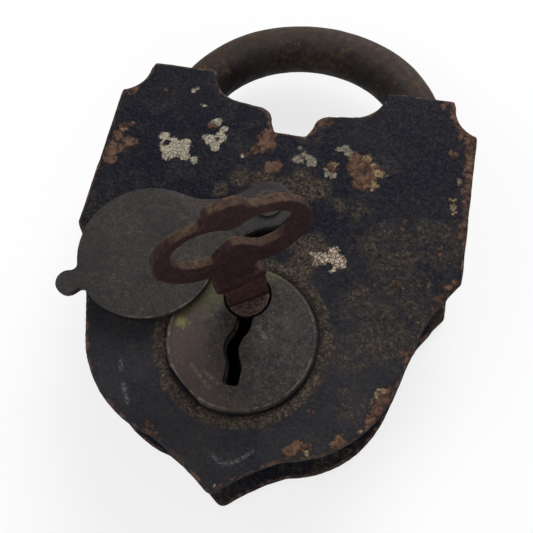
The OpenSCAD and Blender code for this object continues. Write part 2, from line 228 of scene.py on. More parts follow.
def lumps(p, size, seed):
    """Smooth noise from -1 to 1 with lumps of that size, at points p in millimetres."""
    q = p @ np.linalg.matrix_power(GRID_TURN, seed % 7 + 1) / size
    i = np.floor(q).astype(np.int64)
    f = q - i
    f = f * f * (3 - 2 * f)
    total = np.zeros(len(p))
    for dx in (0, 1):
        for dy in (0, 1):
            for dz in (0, 1):
                w = np.ones(len(p))
                for axis, step in enumerate((dx, dy, dz)):
                    w = w * (f[:, axis] if step else 1 - f[:, axis])
                total += w * corner_value(i[:, 0] + dx, i[:, 1] + dy, i[:, 2] + dz, seed)
    return total


def cloud(p, size, seed, layers=4, fade=0.5):
    total, weight = 0, 0
    for n in range(layers):
        total = total + fade**n * lumps(p, size / 2**n, seed + n)
        weight += fade**n
    return total / weight


def soft_step(x, a, b):
    t = np.clip((x - a) / (b - a), 0, 1)
    return t * t * (3 - 2 * t)


def bump_ring(d, middle, half):
    """1 on a ring at that distance, falling to 0 at half its width on each side."""
    return 1 - soft_step(np.abs(d - middle), 0, half)


def flat_distance(p, c):
    return np.hypot(p[:, 0] - c[0], p[:, 1] - c[1])


def inside(p, blobs):
    """How deep each point lies inside a patch of round blobs (x, y, radius), in millimetres."""
    depth = np.full(len(p), 3.0 * NO_PATCH)
    for x, y, r in blobs:
        depth = np.maximum(depth, r - flat_distance(p, (x, y)))
    return depth


def torn(p, size, reach, seed):
    """The points moved about by noise, so that patches drawn on them get torn rims."""
    q = p.copy()
    q[:, 0] += reach * cloud(p, size, seed, 4, 0.65)
    q[:, 1] += reach * cloud(p, size, seed + 5, 4, 0.65)
    return q


def sharp_edges(node):
    """The CAD node's sharp edges, as pairs of points in millimetres."""
    bm = bmesh.new()
    bm.from_mesh(NODES[node].data)
    bmesh.ops.remove_doubles(bm, verts=bm.verts, dist=WELD)
    pairs = [
        (e.verts[0].co / MM, e.verts[1].co / MM)
        for e in bm.edges
        if len(e.link_faces) == 2 and e.calc_face_angle(0) > SHARP
    ]
    bm.free()
    return np.array(pairs)


def edge_distance(p, pairs, reach=6.0):
    """Distance in millimetres from each point to the nearest sharp edge."""
    best = np.full(len(p), reach)
    for a, b in pairs:
        lo, hi = np.minimum(a, b) - reach / 2, np.maximum(a, b) + reach / 2
        near = np.all((p > lo) & (p < hi), axis=1)
        q = p[near]
        d = b - a
        t = np.clip((q - a) @ d / max(d @ d, 1e-9), 0, 1)
        gap = np.linalg.norm(q - a - t[:, None] * d, axis=1)
        best[near] = np.minimum(best[near], gap)
    return best


# ---------------------------------------------------------------- worn pieces
def made_mesh(obj, name):
    """A new mesh with the object's modifiers applied."""
    bpy.context.view_layer.update()
    ready = obj.evaluated_get(bpy.context.evaluated_depsgraph_get())
    mesh = bpy.data.meshes.new_from_object(ready)
    mesh.name = name
    return mesh


def read_points(mesh):
    co = np.zeros(len(mesh.vertices) * 3, np.float32)
    mesh.vertices.foreach_get("co", co)
    normal = np.zeros(len(mesh.vertices) * 3, np.float32)
    mesh.vertex_normals.foreach_get("vector", normal)
    return co.reshape(-1, 3).astype(float) / MM, normal.reshape(-1, 3).astype(float)


def write_points(mesh, p):
    mesh.vertices.foreach_set("co", (p * MM).astype(np.float32).ravel())
    mesh.update()


def write_field(mesh, name, values):
    field = mesh.attributes.new(name, "FLOAT", "POINT")
    field.data.foreach_set("value", np.asarray(values, np.float32))


class Worn:
    """A CAD node's shape rebuilt in fine even faces, ready to be worn down and marked."""

    def __init__(self, name, node, grain, rounding, plugs=()):
        mesh = NODES[node].data.copy()
        bm = bmesh.new()
        bm.from_mesh(mesh)
        bmesh.ops.remove_doubles(bm, verts=bm.verts, dist=WELD)
        for x, y, r in plugs:
            low, high = PLATE_BACK + PLUG_MARGIN, FACE_Z
            place = Matrix.Translation((x * MM, y * MM, (low + high) / 2 * MM))
            bmesh.ops.create_cone(
                bm, cap_ends=True, segments=48, radius1=r * MM, radius2=r * MM,
                depth=(high - low) * MM, matrix=place,
            )
        bm.to_mesh(mesh)
        bm.free()
        self.obj = bpy.data.objects.new(name, mesh)
        bpy.context.scene.collection.objects.link(self.obj)
        remesh = self.obj.modifiers.new("Even faces", "REMESH")
        remesh.mode = "VOXEL"
        remesh.voxel_size = grain
        if rounding:
            smooth = self.obj.modifiers.new("Rounded", "SMOOTH")
            smooth.factor = 0.5
            smooth.iterations = rounding
        fine = made_mesh(self.obj, name)
        self.obj.modifiers.clear()
        self.obj.data = fine
        bpy.data.meshes.remove(mesh)
        self.mesh = fine
        self.node = node
        self.p, self.n = read_points(fine)
        pairs = sharp_edges(node)
        for x, y, r in plugs:
            pairs = pairs[np.hypot(pairs[:, 0, 0] - x, pairs[:, 0, 1] - y) > r + 0.2]
        self.edge = edge_distance(self.p, pairs)

    def blank(self, names, value=0.0):
        """Sets fields that the finish reads to one value all over."""
        for name in names:
            self.field(name, np.full(len(self.p), value))

    def push(self, amount):
        """Moves each point along its normal by that many millimetres."""
        self.p = self.p + self.n * np.asarray(amount)[:, None]

    def field(self, name, values):
        write_field(self.mesh, name, values)

    def done(self, body, slot, finish):
        write_points(self.mesh, self.p)
        self.mesh.materials.clear()
        self.mesh.materials.append(finish)
        self.mesh.polygons.foreach_set("use_smooth", np.ones(len(self.mesh.polygons), bool))
        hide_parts(self.node)
        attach(self.obj, body)
        return self.obj


# ---------------------------------------------------------------- finishes
# How far the pattern of each noise is moved from the one before
PATTERN_STEP = (0.31, 0.17, 0.23)


class Finish:
    """One procedural finish, mixed step by step. Sizes are in millimetres."""

    def __init__(self, name):
        self.mat = bpy.data.materials.new(name)
        self.mat.use_nodes = True
        self.tree = self.mat.node_tree
        self.tree.nodes.clear()
        self.out = self.node("ShaderNodeOutputMaterial")
        self.shader = self.node("ShaderNodeBsdfPrincipled")
        self.link(self.shader.outputs[0], self.out.inputs["Surface"])
        self.place = self.node("ShaderNodeTexCoord").outputs["Object"]
        self.count = 0

    def node(self, kind, **settings):
        n = self.tree.nodes.new(kind)
        for k, v in settings.items():
            setattr(n, k, v)
        return n

    def link(self, a, b):
        self.tree.links.new(a, b)

    def feed(self, socket, value):
        if isinstance(value, bpy.types.NodeSocket):
            self.link(value, socket)
        elif isinstance(value, tuple) and len(value) == 3 and len(socket.default_value) == 4:
            socket.default_value = (*value, 1)
        else:
            socket.default_value = value

    def shifted(self, stretch=(1, 1, 1), turn=0.0):
        """The place, moved apart for each use so that no two patterns line up."""
        self.count += 1
        n = self.node("ShaderNodeMapping")
        self.link(self.place, n.inputs["Vector"])
        n.inputs["Location"].default_value = tuple(step * self.count for step in PATTERN_STEP)
        n.inputs["Rotation"].default_value = (0, 0, math.radians(turn))
        n.inputs["Scale"].default_value = stretch
        return n.outputs[0]

    def noise(self, size, detail=3, rough=0.55, warp=0.0, stretch=(1, 1, 1), turn=0.0):
        n = self.node("ShaderNodeTexNoise")
        self.link(self.shifted(stretch, turn), n.inputs["Vector"])
        n.inputs["Scale"].default_value = 1 / (size * MM)
        n.inputs["Detail"].default_value = detail
        n.inputs["Roughness"].default_value = rough
        n.inputs["Distortion"].default_value = warp
        return n.outputs["Fac"]

    def cells(self, size, feature="F1", output="Distance"):
        n = self.node("ShaderNodeTexVoronoi", feature=feature)
        self.link(self.shifted(), n.inputs["Vector"])
        n.inputs["Scale"].default_value = 1 / (size * MM)
        return n.outputs[output]

    def field(self, name):
        return self.node("ShaderNodeAttribute", attribute_name=name).outputs["Fac"]

    def math(self, op, a, b=0.0, c=0.0):
        n = self.node("ShaderNodeMath", operation=op)
        for socket, value in zip(n.inputs, (a, b, c)):
            self.feed(socket, value)
        return n.outputs[0]

    def add(self, a, b):
        return self.math("ADD", a, b)

    def times(self, a, b):
        return self.math("MULTIPLY", a, b)

    def most(self, a, b):
        return self.math("MAXIMUM", a, b)

    def blot(self, value, low, high, to_low=0.0, to_high=1.0):
        """Smooth step of a value between low and high."""
        n = self.node("ShaderNodeMapRange", interpolation_type="SMOOTHSTEP")
        self.feed(n.inputs["Value"], value)
        n.inputs["From Min"].default_value = low
        n.inputs["From Max"].default_value = high
        n.inputs["To Min"].default_value = to_low
        n.inputs["To Max"].default_value = to_high
        return n.outputs["Result"]

    def waved(self, value, noise, reach):
        """A value moved up and down by noise."""
        return self.add(value, self.math("MULTIPLY_ADD", noise, 2 * reach, -reach))

    def ragged(self, depth, noise, reach, soft):
        """A patch mask whose rim is broken up by noise, from the depth inside the patch."""
        return self.blot(self.waved(depth, noise, reach), -soft, soft)

    def bared(self, noise, gain, base, low, high):
        """Mask of worn edges, where the noise says how far in from the edge the wear goes."""
        reach = self.math("MULTIPLY_ADD", noise, gain, base)
        return self.blot(self.math("SUBTRACT", reach, self.field("edge")), low, high)

    def mix(self, part, a, b):
        n = self.node("ShaderNodeMix", data_type="RGBA")
        self.feed(n.inputs[0], part)
        self.feed(n.inputs[6], a)
        self.feed(n.inputs[7], b)
        return n.outputs[2]

    def tint(self, col, value, low, high, part, tone):
        """Mixes a tone in by at most that part, as the value goes from low to high."""
        return self.mix(self.blot(value, low, high, 0, part), col, tone)

    def facing(self, x, y, z):
        """How far the surface faces a direction fixed in the lock, from -1 to 1."""
        n = self.node("ShaderNodeVectorMath", operation="DOT_PRODUCT")
        self.link(self.node("ShaderNodeTexCoord").outputs["Normal"], n.inputs[0])
        n.inputs[1].default_value = Vector((x, y, z)).normalized()
        return n.outputs["Value"]

    def relief(self, height, depth, before=None):
        """Fine relief, with its depth in millimetres."""
        n = self.node("ShaderNodeBump")
        n.inputs["Strength"].default_value = 1.0
        n.inputs["Distance"].default_value = depth * MM
        self.feed(n.inputs["Height"], height)
        if before is not None:
            self.link(before, n.inputs["Normal"])
        return n.outputs[0]

    def done(self, tone, rough, normal, gloss, metal=0.0):
        s = self.shader.inputs
        self.feed(s["Base Color"], tone)
        self.feed(s["Roughness"], rough)
        self.feed(s["Metallic"], metal)
        self.feed(s["Specular IOR Level"], gloss)
        self.link(normal, s["Normal"])
        return self.mat


LOWER_DARK, LOWER_PALE = (0.0160, 0.0158, 0.0205), (0.0235, 0.0222, 0.0250)
VARNISH_PIT, LEATHER_PIT = (0.0030, 0.0030, 0.0048), (0.0035, 0.0035, 0.0050)
VARNISH_RUB = (0.026, 0.025, 0.029)
DUST, STAIN = (0.095, 0.080, 0.062), (0.042, 0.036, 0.031)
DARK_SOIL, GREY_SOIL = (0.028, 0.0220, 0.0185), (0.044, 0.037, 0.030)
PALE_GRIT = (0.240, 0.195, 0.125)
DARK_RUST, DEEP_RUST = (0.026, 0.0150, 0.0125), (0.036, 0.020, 0.015)
BRIGHT_RUST, RUST_HALO = (0.170, 0.100, 0.062), (0.010, 0.008, 0.008)
DARK_OCHRE, PALE_OCHRE = (0.075, 0.045, 0.027), (0.27, 0.20, 0.11)
OLD_CREAM, THIN_PAINT = (0.250, 0.225, 0.175), (0.085, 0.072, 0.055)
CHIPPED, BEAD_GAP = (0.115, 0.092, 0.070), (0.060, 0.038, 0.028)
DULL_BEAD, PALE_BEAD = (0.35, 0.275, 0.215), (0.55, 0.46, 0.37)
SCRATCH, PAINTED_SHADE_AND_MARKS = (0.17, 0.17, 0.18), (0.0015, 0.0015, 0.0018)
# Painted reflection on the wall below the tip
WALL_SHEEN = (0.078, 0.074, 0.079)


def varnish(f, s):
    """Blue-black varnish with pits, dust and stains. Gives its colour and its three grains."""
    broad = f.noise(13, 4, 0.55, 0.6)
    fine = f.noise(0.62, 4, 0.62, 0.3)
    dust = f.noise(0.42, 3, 0.7)
    cloudy = f.blot(broad, 0.36, 0.66)
    col = f.mix(cloudy, tuple(s.japan), tuple(s.worn))
    # Paler varnish towards the bottom of the plate
    col = f.mix(f.field("paler_below"), col, f.mix(cloudy, LOWER_DARK, LOWER_PALE))
    leather = f.cells(0.75)
    smooth = f.math("MULTIPLY_ADD", f.field("paler_below"), -0.6, 1.0)
    col = f.mix(f.times(f.blot(fine, 0.48, 0.40, 0, 0.7), smooth), col, VARNISH_PIT)
    col = f.tint(col, fine, 0.52, 0.70, 0.7, VARNISH_RUB)
    col = f.mix(f.times(f.blot(leather, 0.28, 0.10, 0, 0.35), smooth), col, LEATHER_PIT)
    col = f.tint(col, dust, 0.62, 0.72, 0.7, DUST)
    stain = f.blot(f.noise(6, 5, 0.65, 0.6), 0.50, 0.66)
    stain = f.times(stain, f.blot(f.noise(0.8, 4, 0.7), 0.42, 0.6))
    return f.mix(f.times(stain, 0.5), col, STAIN), fine, dust, leather


def grime_over(f, s, col):
    """Granular grime near the boss, under the cover's rivet and in the mottled area."""
    speck = f.noise(0.6, 5, 0.78, 0.5)
    clump = f.noise(2.6, 6, 0.72, 0.8)
    here = f.add(f.field("grime"), f.math("MULTIPLY_ADD", clump, 2.2, -1.22))
    grime = f.times(f.blot(here, 0.0, 0.8), f.blot(speck, 0.36, 0.52))
    soil = f.mix(f.blot(f.noise(0.9, 5, 0.75), 0.38, 0.66), DARK_SOIL, tuple(s.grime))
    soil = f.tint(soil, f.noise(4.5, 3), 0.45, 0.65, 0.35, GREY_SOIL)
    col = f.mix(f.times(grime, 0.85), col, soil)
    grit = f.times(f.blot(f.noise(0.5, 4, 0.7, 0.3), 0.60, 0.68), f.blot(here, 0.0, 0.7))
    return f.mix(f.times(grit, 0.85), col, PALE_GRIT), grime, speck


def rust_over(f, s, col):
    """Brown bared edges, flaked rust with a dark halo, small spots and ochre rims."""
    rim = f.bared(f.noise(2.2, 6, 0.72, 0.6), 2.6, -0.88, -0.08, 0.28)
    rusty = f.mix(f.blot(f.noise(1.5, 6, 0.75, 0.6), 0.36, 0.62), DARK_RUST, tuple(s.rust))
    rusty = f.tint(rusty, f.noise(3.6, 3, 0.6), 0.50, 0.62, 0.45, DEEP_RUST)
    rusty = f.tint(rusty, f.noise(0.6, 5, 0.78), 0.55, 0.68, 0.7, BRIGHT_RUST)
    col = f.mix(f.times(rim, 0.8), col, rusty)
    flaky = f.noise(1.7, 7, 0.75, 0.5)
    rust = f.ragged(f.field("rust"), flaky, 1.9, 0.28)
    spots = f.blot(f.noise(0.9, 4, 0.7, 0.6), 0.68, 0.74)
    spots = f.times(spots, f.blot(f.noise(9, 3), 0.48, 0.58))
    col = f.mix(f.times(spots, 0.75), col, rusty)
    halo = f.ragged(f.add(f.field("rust"), 0.35), flaky, 2.2, 0.5)
    col = f.mix(f.times(halo, 0.45), col, RUST_HALO)
    col = f.mix(f.times(rust, 0.93), col, rusty)
    ochre = f.ragged(f.field("ochre"), f.noise(1.0, 6, 0.75, 0.4), 1.3, 0.2)
    tone = f.mix(f.blot(f.noise(0.6, 4, 0.7), 0.38, 0.62), DARK_OCHRE, PALE_OCHRE)
    return f.mix(ochre, col, tone), rust, rim


def paint_over(f, s, col):
    """Cream paint flecks with torn rims and dark chips, one of them broken into beads."""
    chips = f.blot(f.noise(0.42, 5, 0.78, 0.5), 0.40, 0.50)
    paint = f.ragged(f.add(f.field("cream"), 0.1), f.noise(0.8, 8, 0.85, 0.8), 1.3, 0.06)
    cream = f.mix(f.blot(f.noise(0.8, 5, 0.65), 0.34, 0.62), OLD_CREAM, tuple(s.cream))
    cream = f.mix(chips, CHIPPED, cream)
    bead = f.blot(f.cells(0.85, "DISTANCE_TO_EDGE"), 0.02, 0.15)
    bead_tone = f.mix(f.blot(f.noise(0.9, 3), 0.4, 0.6), DULL_BEAD, PALE_BEAD)
    thin = f.mix(f.blot(f.noise(0.5, 5, 0.75), 0.40, 0.60), THIN_PAINT, OLD_CREAM)
    cream = f.mix(f.field("thin"), cream, thin)
    cream = f.mix(f.field("crackle"), cream, f.mix(bead, BEAD_GAP, bead_tone))
    return f.mix(paint, col, cream), paint, chips


def japan_finish(name="Japanned iron", polish=0.0):
    """Worn japanned iron. Polish is how much the wall's sheen field makes it smoother and mixes a
    painted reflection into its colour.
    """
    s = bpy.context.scene.padlock_case
    f = Finish(name)
    col, fine, dust, leather = varnish(f, s)
    col, grime, speck = grime_over(f, s, col)
    col, rust, rim = rust_over(f, s, col)
    col, paint, chips = paint_over(f, s, col)
    scratch = f.times(f.field("scratch"), f.blot(f.noise(0.5, 4, 0.75), 0.42, 0.6))
    col = f.mix(f.times(scratch, 0.55), col, SCRATCH)
    # Painted shade at the boss's foot, and the dark rims of the blow marks
    col = f.mix(f.field("dark"), col, PAINTED_SHADE_AND_MARKS)
    sheen = f.times(f.field("sheen"), polish)
    # Painted reflection: a pale sheen mixed into the wall's colour where its sheen field is set
    col = f.mix(f.times(sheen, 0.85), col, WALL_SHEEN)

    patches = f.most(rust, f.most(paint, f.times(rim, 0.8)))
    rough = f.blot(f.noise(1.1, 4), 0.3, 0.7, 0.54, 0.72)
    rough = f.math("SUBTRACT", rough, f.times(sheen, 0.36))
    rough = f.most(rough, f.times(f.most(patches, grime), 0.92))
    grain = f.add(f.add(f.times(fine, 0.6), f.times(dust, 0.3)), f.times(leather, 0.5))
    crust = f.add(f.times(rust, f.noise(0.7, 6, 0.75)), f.times(paint, f.times(chips, 0.8)))
    normal = f.relief(crust, 0.13, f.relief(grain, 0.13))
    normal = f.relief(f.times(grime, speck), 0.17, normal)
    return f.done(col, rough, normal, s.gloss)


DARK_BOSS, PALE_BOSS = (0.0165, 0.0150, 0.0160), (0.058, 0.050, 0.044)
DARK_MOTTLE, PALE_MOTTLE = (0.0100, 0.0095, 0.0105), (0.058, 0.045, 0.037)
DARK_SMEAR, PALE_SMEAR = (0.0085, 0.0080, 0.0085), (0.075, 0.063, 0.052)
HAIR_SCRATCH, SCUFF = (0.080, 0.070, 0.062), (0.135, 0.118, 0.086)
LIME, BOSS_GRIT = (0.155, 0.160, 0.055), (0.165, 0.140, 0.105)
BOSS_PIT, BOSS_TONE_AND_SHADE = (0.008, 0.007, 0.007), (0.014, 0.013, 0.014)
BOSS_PAINTED_SHADE = (0.0015, 0.0014, 0.0014)


def boss_finish():
    """Dull bare iron, warmer to the left, with an olive film, fine scratches, rubbed edges that
    are partly a painted highlight, a darker tone and painted shade.
    """
    s = bpy.context.scene.padlock_boss
    f = Finish("Dull boss iron")
    broad = f.noise(6, 4, 0.6, 0.4)
    fine = f.noise(0.5, 4, 0.65)
    hairs = f.noise(0.7, 3, 0.7, 0.6, (1, 0.25, 1), 50)
    col = f.mix(f.blot(broad, 0.38, 0.62), DARK_BOSS, tuple(s.iron))
    mottle = f.noise(1.7, 5, 0.72, 0.5)
    col = f.tint(col, mottle, 0.49, 0.39, 0.75, DARK_MOTTLE)
    col = f.tint(col, mottle, 0.54, 0.66, 0.75, PALE_MOTTLE)
    smear = f.noise(0.9, 5, 0.78, 0.8)
    col = f.tint(col, smear, 0.46, 0.36, 0.7, DARK_SMEAR)
    col = f.tint(col, smear, 0.54, 0.66, 0.6, PALE_SMEAR)
    col = f.tint(col, fine, 0.50, 0.70, 0.7, PALE_BOSS)
    col = f.tint(col, hairs, 0.60, 0.74, 0.22, HAIR_SCRATCH)
    warm = f.waved(f.field("warm"), f.noise(2.4, 4, 0.6), 0.45)
    col = f.tint(col, warm, 0.1, 0.9, 0.75, tuple(s.warm))
    moss = f.waved(f.field("moss"), f.noise(1.2, 5, 0.7), 0.6)
    col = f.tint(col, moss, 0.15, 0.8, 0.8, tuple(s.moss))
    lime = f.waved(f.field("lime"), f.noise(0.8, 5, 0.7), 0.7)
    col = f.tint(col, lime, 0.2, 0.8, 0.8, LIME)
    scuff = f.times(f.field("scuff"), f.blot(f.noise(0.7, 4, 0.7), 0.40, 0.60))
    col = f.mix(f.times(scuff, 0.75), col, SCUFF)
    # Rubbed edges, partly worn bare and partly a painted highlight on the lit side
    rim = f.bared(f.noise(1.4, 5, 0.75), 1.5, -0.56, -0.06, 0.14)
    col = f.mix(f.times(f.times(rim, f.field("rub_and_light")), 0.8), col, tuple(s.edge))
    pits = f.blot(f.noise(0.9, 5, 0.75, 0.4), 0.36, 0.28)
    col = f.mix(f.times(pits, 0.6), col, BOSS_PIT)
    col = f.tint(col, f.noise(0.42, 4, 0.75), 0.61, 0.67, 0.75, BOSS_GRIT)
    # Darker tone from the mottle, then painted shade in the keyhole, the groove, the rim's right
    # side and the cover's side wall
    col = f.mix(f.field("darker_tone_and_shade"), col, BOSS_TONE_AND_SHADE)
    col = f.mix(f.field("dark"), col, BOSS_PAINTED_SHADE)
    rough = f.blot(f.noise(1.5, 4), 0.3, 0.7, 0.48, 0.70)
    normal = f.relief(f.add(fine, f.times(hairs, 0.15)), 0.08)
    return f.done(col, rough, f.relief(pits, -0.08, normal), 0.20)


BROWN_BAR, INNER_RUST = (0.027, 0.0205, 0.0195), (0.060, 0.036, 0.021)
BAR_GRAIN, BAR_BLOOM = (0.056, 0.040, 0.032), (0.078, 0.047, 0.026)
BAR_PIT = (0.007, 0.006, 0.006)


def shackle_finish():
    """Dark iron, brown and rubbed on the outside of the bow and painted lighter on the bar's upper
    half, with darker blotches.
    """
    s = bpy.context.scene.padlock_shackle
    f = Finish("Rubbed shackle iron")
    blot = f.noise(5, 6, 0.66, 0.8)
    fine = f.noise(0.6, 4, 0.65)
    col = f.mix(f.blot(blot, 0.36, 0.62), tuple(s.iron), BROWN_BAR)
    inner = f.times(f.field("inner"), f.blot(f.noise(1.6, 6, 0.75, 0.6), 0.47, 0.62))
    col = f.mix(f.times(inner, 0.85), col, INNER_RUST)
    # Lighter brown outside the bow where it is rubbed, and on the bar's upper half as painted
    # light
    rub_and_light = f.waved(f.field("outer"), f.noise(4, 5, 0.65, 0.5), 0.5)
    col = f.tint(col, rub_and_light, 0.1, 0.85, 0.85, tuple(s.rub_and_light))
    col = f.tint(col, fine, 0.54, 0.76, 0.55, BAR_GRAIN)
    bloom = f.blot(f.noise(2.0, 6, 0.75, 0.5), 0.54, 0.66)
    bloom = f.times(bloom, f.blot(f.noise(10, 3), 0.42, 0.56))
    col = f.mix(f.times(bloom, 0.8), col, BAR_BLOOM)
    col = f.tint(col, f.noise(1.2, 5, 0.75), 0.40, 0.30, 0.6, BAR_PIT)
    rough = f.blot(f.noise(2.0, 4), 0.3, 0.7, 0.52, 0.74)
    normal = f.relief(f.add(fine, f.times(f.noise(0.3, 2), 0.4)), 0.10)
    return f.done(col, rough, normal, 0.10)


DARK_SCALE, PALE_SCALE = (0.0095, 0.0048, 0.0060), (0.042, 0.0215, 0.0190)
BROWN_KEY, DARK_BLOOM = (0.029, 0.0140, 0.0135), (0.036, 0.021, 0.015)
KEY_EDGE, NECK_RUST = (0.085, 0.050, 0.034), (0.054, 0.0255, 0.0165)
DARK_STEM, PALE_STEM = (0.026, 0.0155, 0.0135), (0.088, 0.056, 0.045)
KEY_GRAIN, KEY_PAINTED_SHADE = (0.060, 0.034, 0.028), (0.0012, 0.0009, 0.0009)


def key_finish():
    """Dark red-brown rust with orange rubbed edges, and orange bloom painted on as a highlight on
    the faces turned up and back.
    """
    s = bpy.context.scene.padlock_key
    f = Finish("Rusted key iron")
    broad = f.noise(5, 5, 0.6, 0.7)
    fine = f.noise(0.55, 5, 0.72, 0.4)
    col = f.mix(f.blot(broad, 0.36, 0.66), tuple(s.rust), BROWN_KEY)
    col = f.tint(col, fine, 0.50, 0.38, 0.75, DARK_SCALE)
    col = f.tint(col, f.noise(1.5, 6, 0.75, 0.8), 0.52, 0.66, 0.6, PALE_SCALE)
    # Painted highlight: the orange bloom goes on the faces turned up and back, towards the key
    # light
    top = f.waved(f.facing(0, 0.35, 1), f.noise(1.8, 5, 0.7, 0.5), 0.45)
    bloom = f.mix(f.blot(f.noise(1.2, 5, 0.75), 0.36, 0.66), DARK_BLOOM, tuple(s.bloom))
    col = f.mix(f.times(f.blot(top, 0.42, 0.95), f.field("bow")), col, bloom)
    rim = f.bared(f.noise(1.3, 5, 0.72), 1.2, -0.42, -0.05, 0.3)
    col = f.mix(f.times(rim, 0.5), col, KEY_EDGE)
    neck = f.times(f.field("neck"), f.blot(f.noise(0.9, 5, 0.75), 0.36, 0.62))
    col = f.mix(neck, col, NECK_RUST)
    grain = f.mix(f.blot(f.noise(0.5, 4, 0.7), 0.38, 0.62), DARK_STEM, PALE_STEM)
    col = f.mix(f.field("stem_face"), col, grain)
    col = f.tint(col, fine, 0.56, 0.74, 0.5, KEY_GRAIN)
    # Painted shade from the dark field
    col = f.mix(f.field("dark"), col, KEY_PAINTED_SHADE)
    rough = f.blot(f.noise(1.2, 4), 0.3, 0.7, 0.66, 0.86)
    normal = f.relief(f.add(fine, f.times(f.noise(0.3, 3), 0.5)), 0.11)
    return f.done(col, rough, normal, 0.10)


DARK_GREASE, BROWN_GREASE = (0.016, 0.014, 0.013), (0.045, 0.034, 0.026)
GREASE_GRAIN = (0.080, 0.058, 0.042)
BLUED, SPRING_RUST = (0.05, 0.05, 0.06), (0.085, 0.052, 0.034)


def inner_finish():
    """Greased dark iron of the works and the rivets."""
    f = Finish("Greased iron")
    blot = f.noise(3, 5, 0.6, 0.4)
    fine = f.noise(0.5, 4, 0.65)
    col = f.mix(f.blot(blot, 0.36, 0.64), DARK_GREASE, BROWN_GREASE)
    col = f.tint(col, fine, 0.56, 0.76, 0.6, GREASE_GRAIN)
    rough = f.blot(f.noise(1.0, 3), 0.3, 0.7, 0.45, 0.70)
    return f.done(col, rough, f.relief(fine, 0.04), 0.35)


def spring_finish():
    """Blued spring iron with light rust."""
    f = Finish("Spring iron")
    blot = f.noise(2, 4, 0.6)
    fine = f.noise(0.4, 3, 0.6)
    col = f.mix(f.blot(blot, 0.4, 0.66), BLUED, SPRING_RUST)
    rough = f.blot(fine, 0.3, 0.7, 0.35, 0.6)
    return f.done(col, rough, f.relief(fine, 0.02), 0.5, 0.4)


# Part of the floor that the camera sees as white rather than lit
FLOOR_GLOW = 0.74


def floor_finish(pale):
    """Pale floor that looks white to the camera and keeps the lock's shadow."""
    f = Finish("Pale floor")
    f.tree.nodes.remove(f.shader)
    soft = f.node("ShaderNodeBsdfDiffuse")
    soft.inputs["Color"].default_value = (*pale, 1)
    glow = f.node("ShaderNodeEmission")
    glow.inputs["Color"].default_value = (1, 1, 1, 1)
    path = f.node("ShaderNodeLightPath").outputs
    seen = f.most(path["Is Camera Ray"], path["Is Glossy Ray"])
    seen = f.most(seen, path["Is Transmission Ray"])
    mix = f.node("ShaderNodeMixShader")
    f.link(f.times(seen, FLOOR_GLOW), mix.inputs[0])
    f.link(soft.outputs[0], mix.inputs[1])
    f.link(glow.outputs[0], mix.inputs[2])
    f.link(mix.outputs[0], f.out.inputs["Surface"])
    return f.mat


# ---------------------------------------------------------------- marks on the front plate
# Each patch is a few round blobs (x, y, radius) in millimetres on the plate's face
CREAM_FLECKS = (
    (-26.9, 23.6, 1.2), (-25.4, 21.4, 1.9), (-22.8, 20.9, 2.0), (-21.4, 22.3, 1.0),
    (-24.8, 19.3, 1.5), (-21.6, 19.2, 1.3), (-19.1, 18.7, 0.8),
    (-16.5, 28.7, 1.0), (-14.9, 26.8, 0.8), (-14.9, 24.6, 1.5), (-16.7, 24.3, 1.2),
    (-15.4, 22.6, 1.2), (-18.2, 24.6, 0.4),
    (-23.8, 36.2, 0.45), (-22.9, 37.0, 0.3), (-20.0, 32.5, 0.4),
    (-9.0, 21.5, 0.35),
    (2.8, 22.5, 1.0), (5.5, 22.6, 1.3), (6.6, 22.0, 0.6), (3.9, 24.1, 0.5), (2.9, 25.4, 0.4),
    (9.7, 20.0, 0.8), (11.0, 19.8, 0.8), (9.0, 20.8, 0.4),
    (10.9, 26.0, 0.7), (12.5, 26.3, 1.0), (13.4, 25.3, 0.9),
    (14.1, 2.4, 1.1), (15.1, 0.3, 1.7), (12.8, 0.5, 1.1), (11.1, 0.9, 0.6), (9.9, 1.2, 0.6),
    (10.9, -0.8, 0.6), (14.6, -2.1, 0.6), (16.6, 0.3, 0.5),
    (0.3, -47.6, 0.3),
)
FLECK_HOLES = ((-25.9, 21.9, 0.9), (-17.0, 27.6, 1.1), (-15.3, 24.4, 0.5))
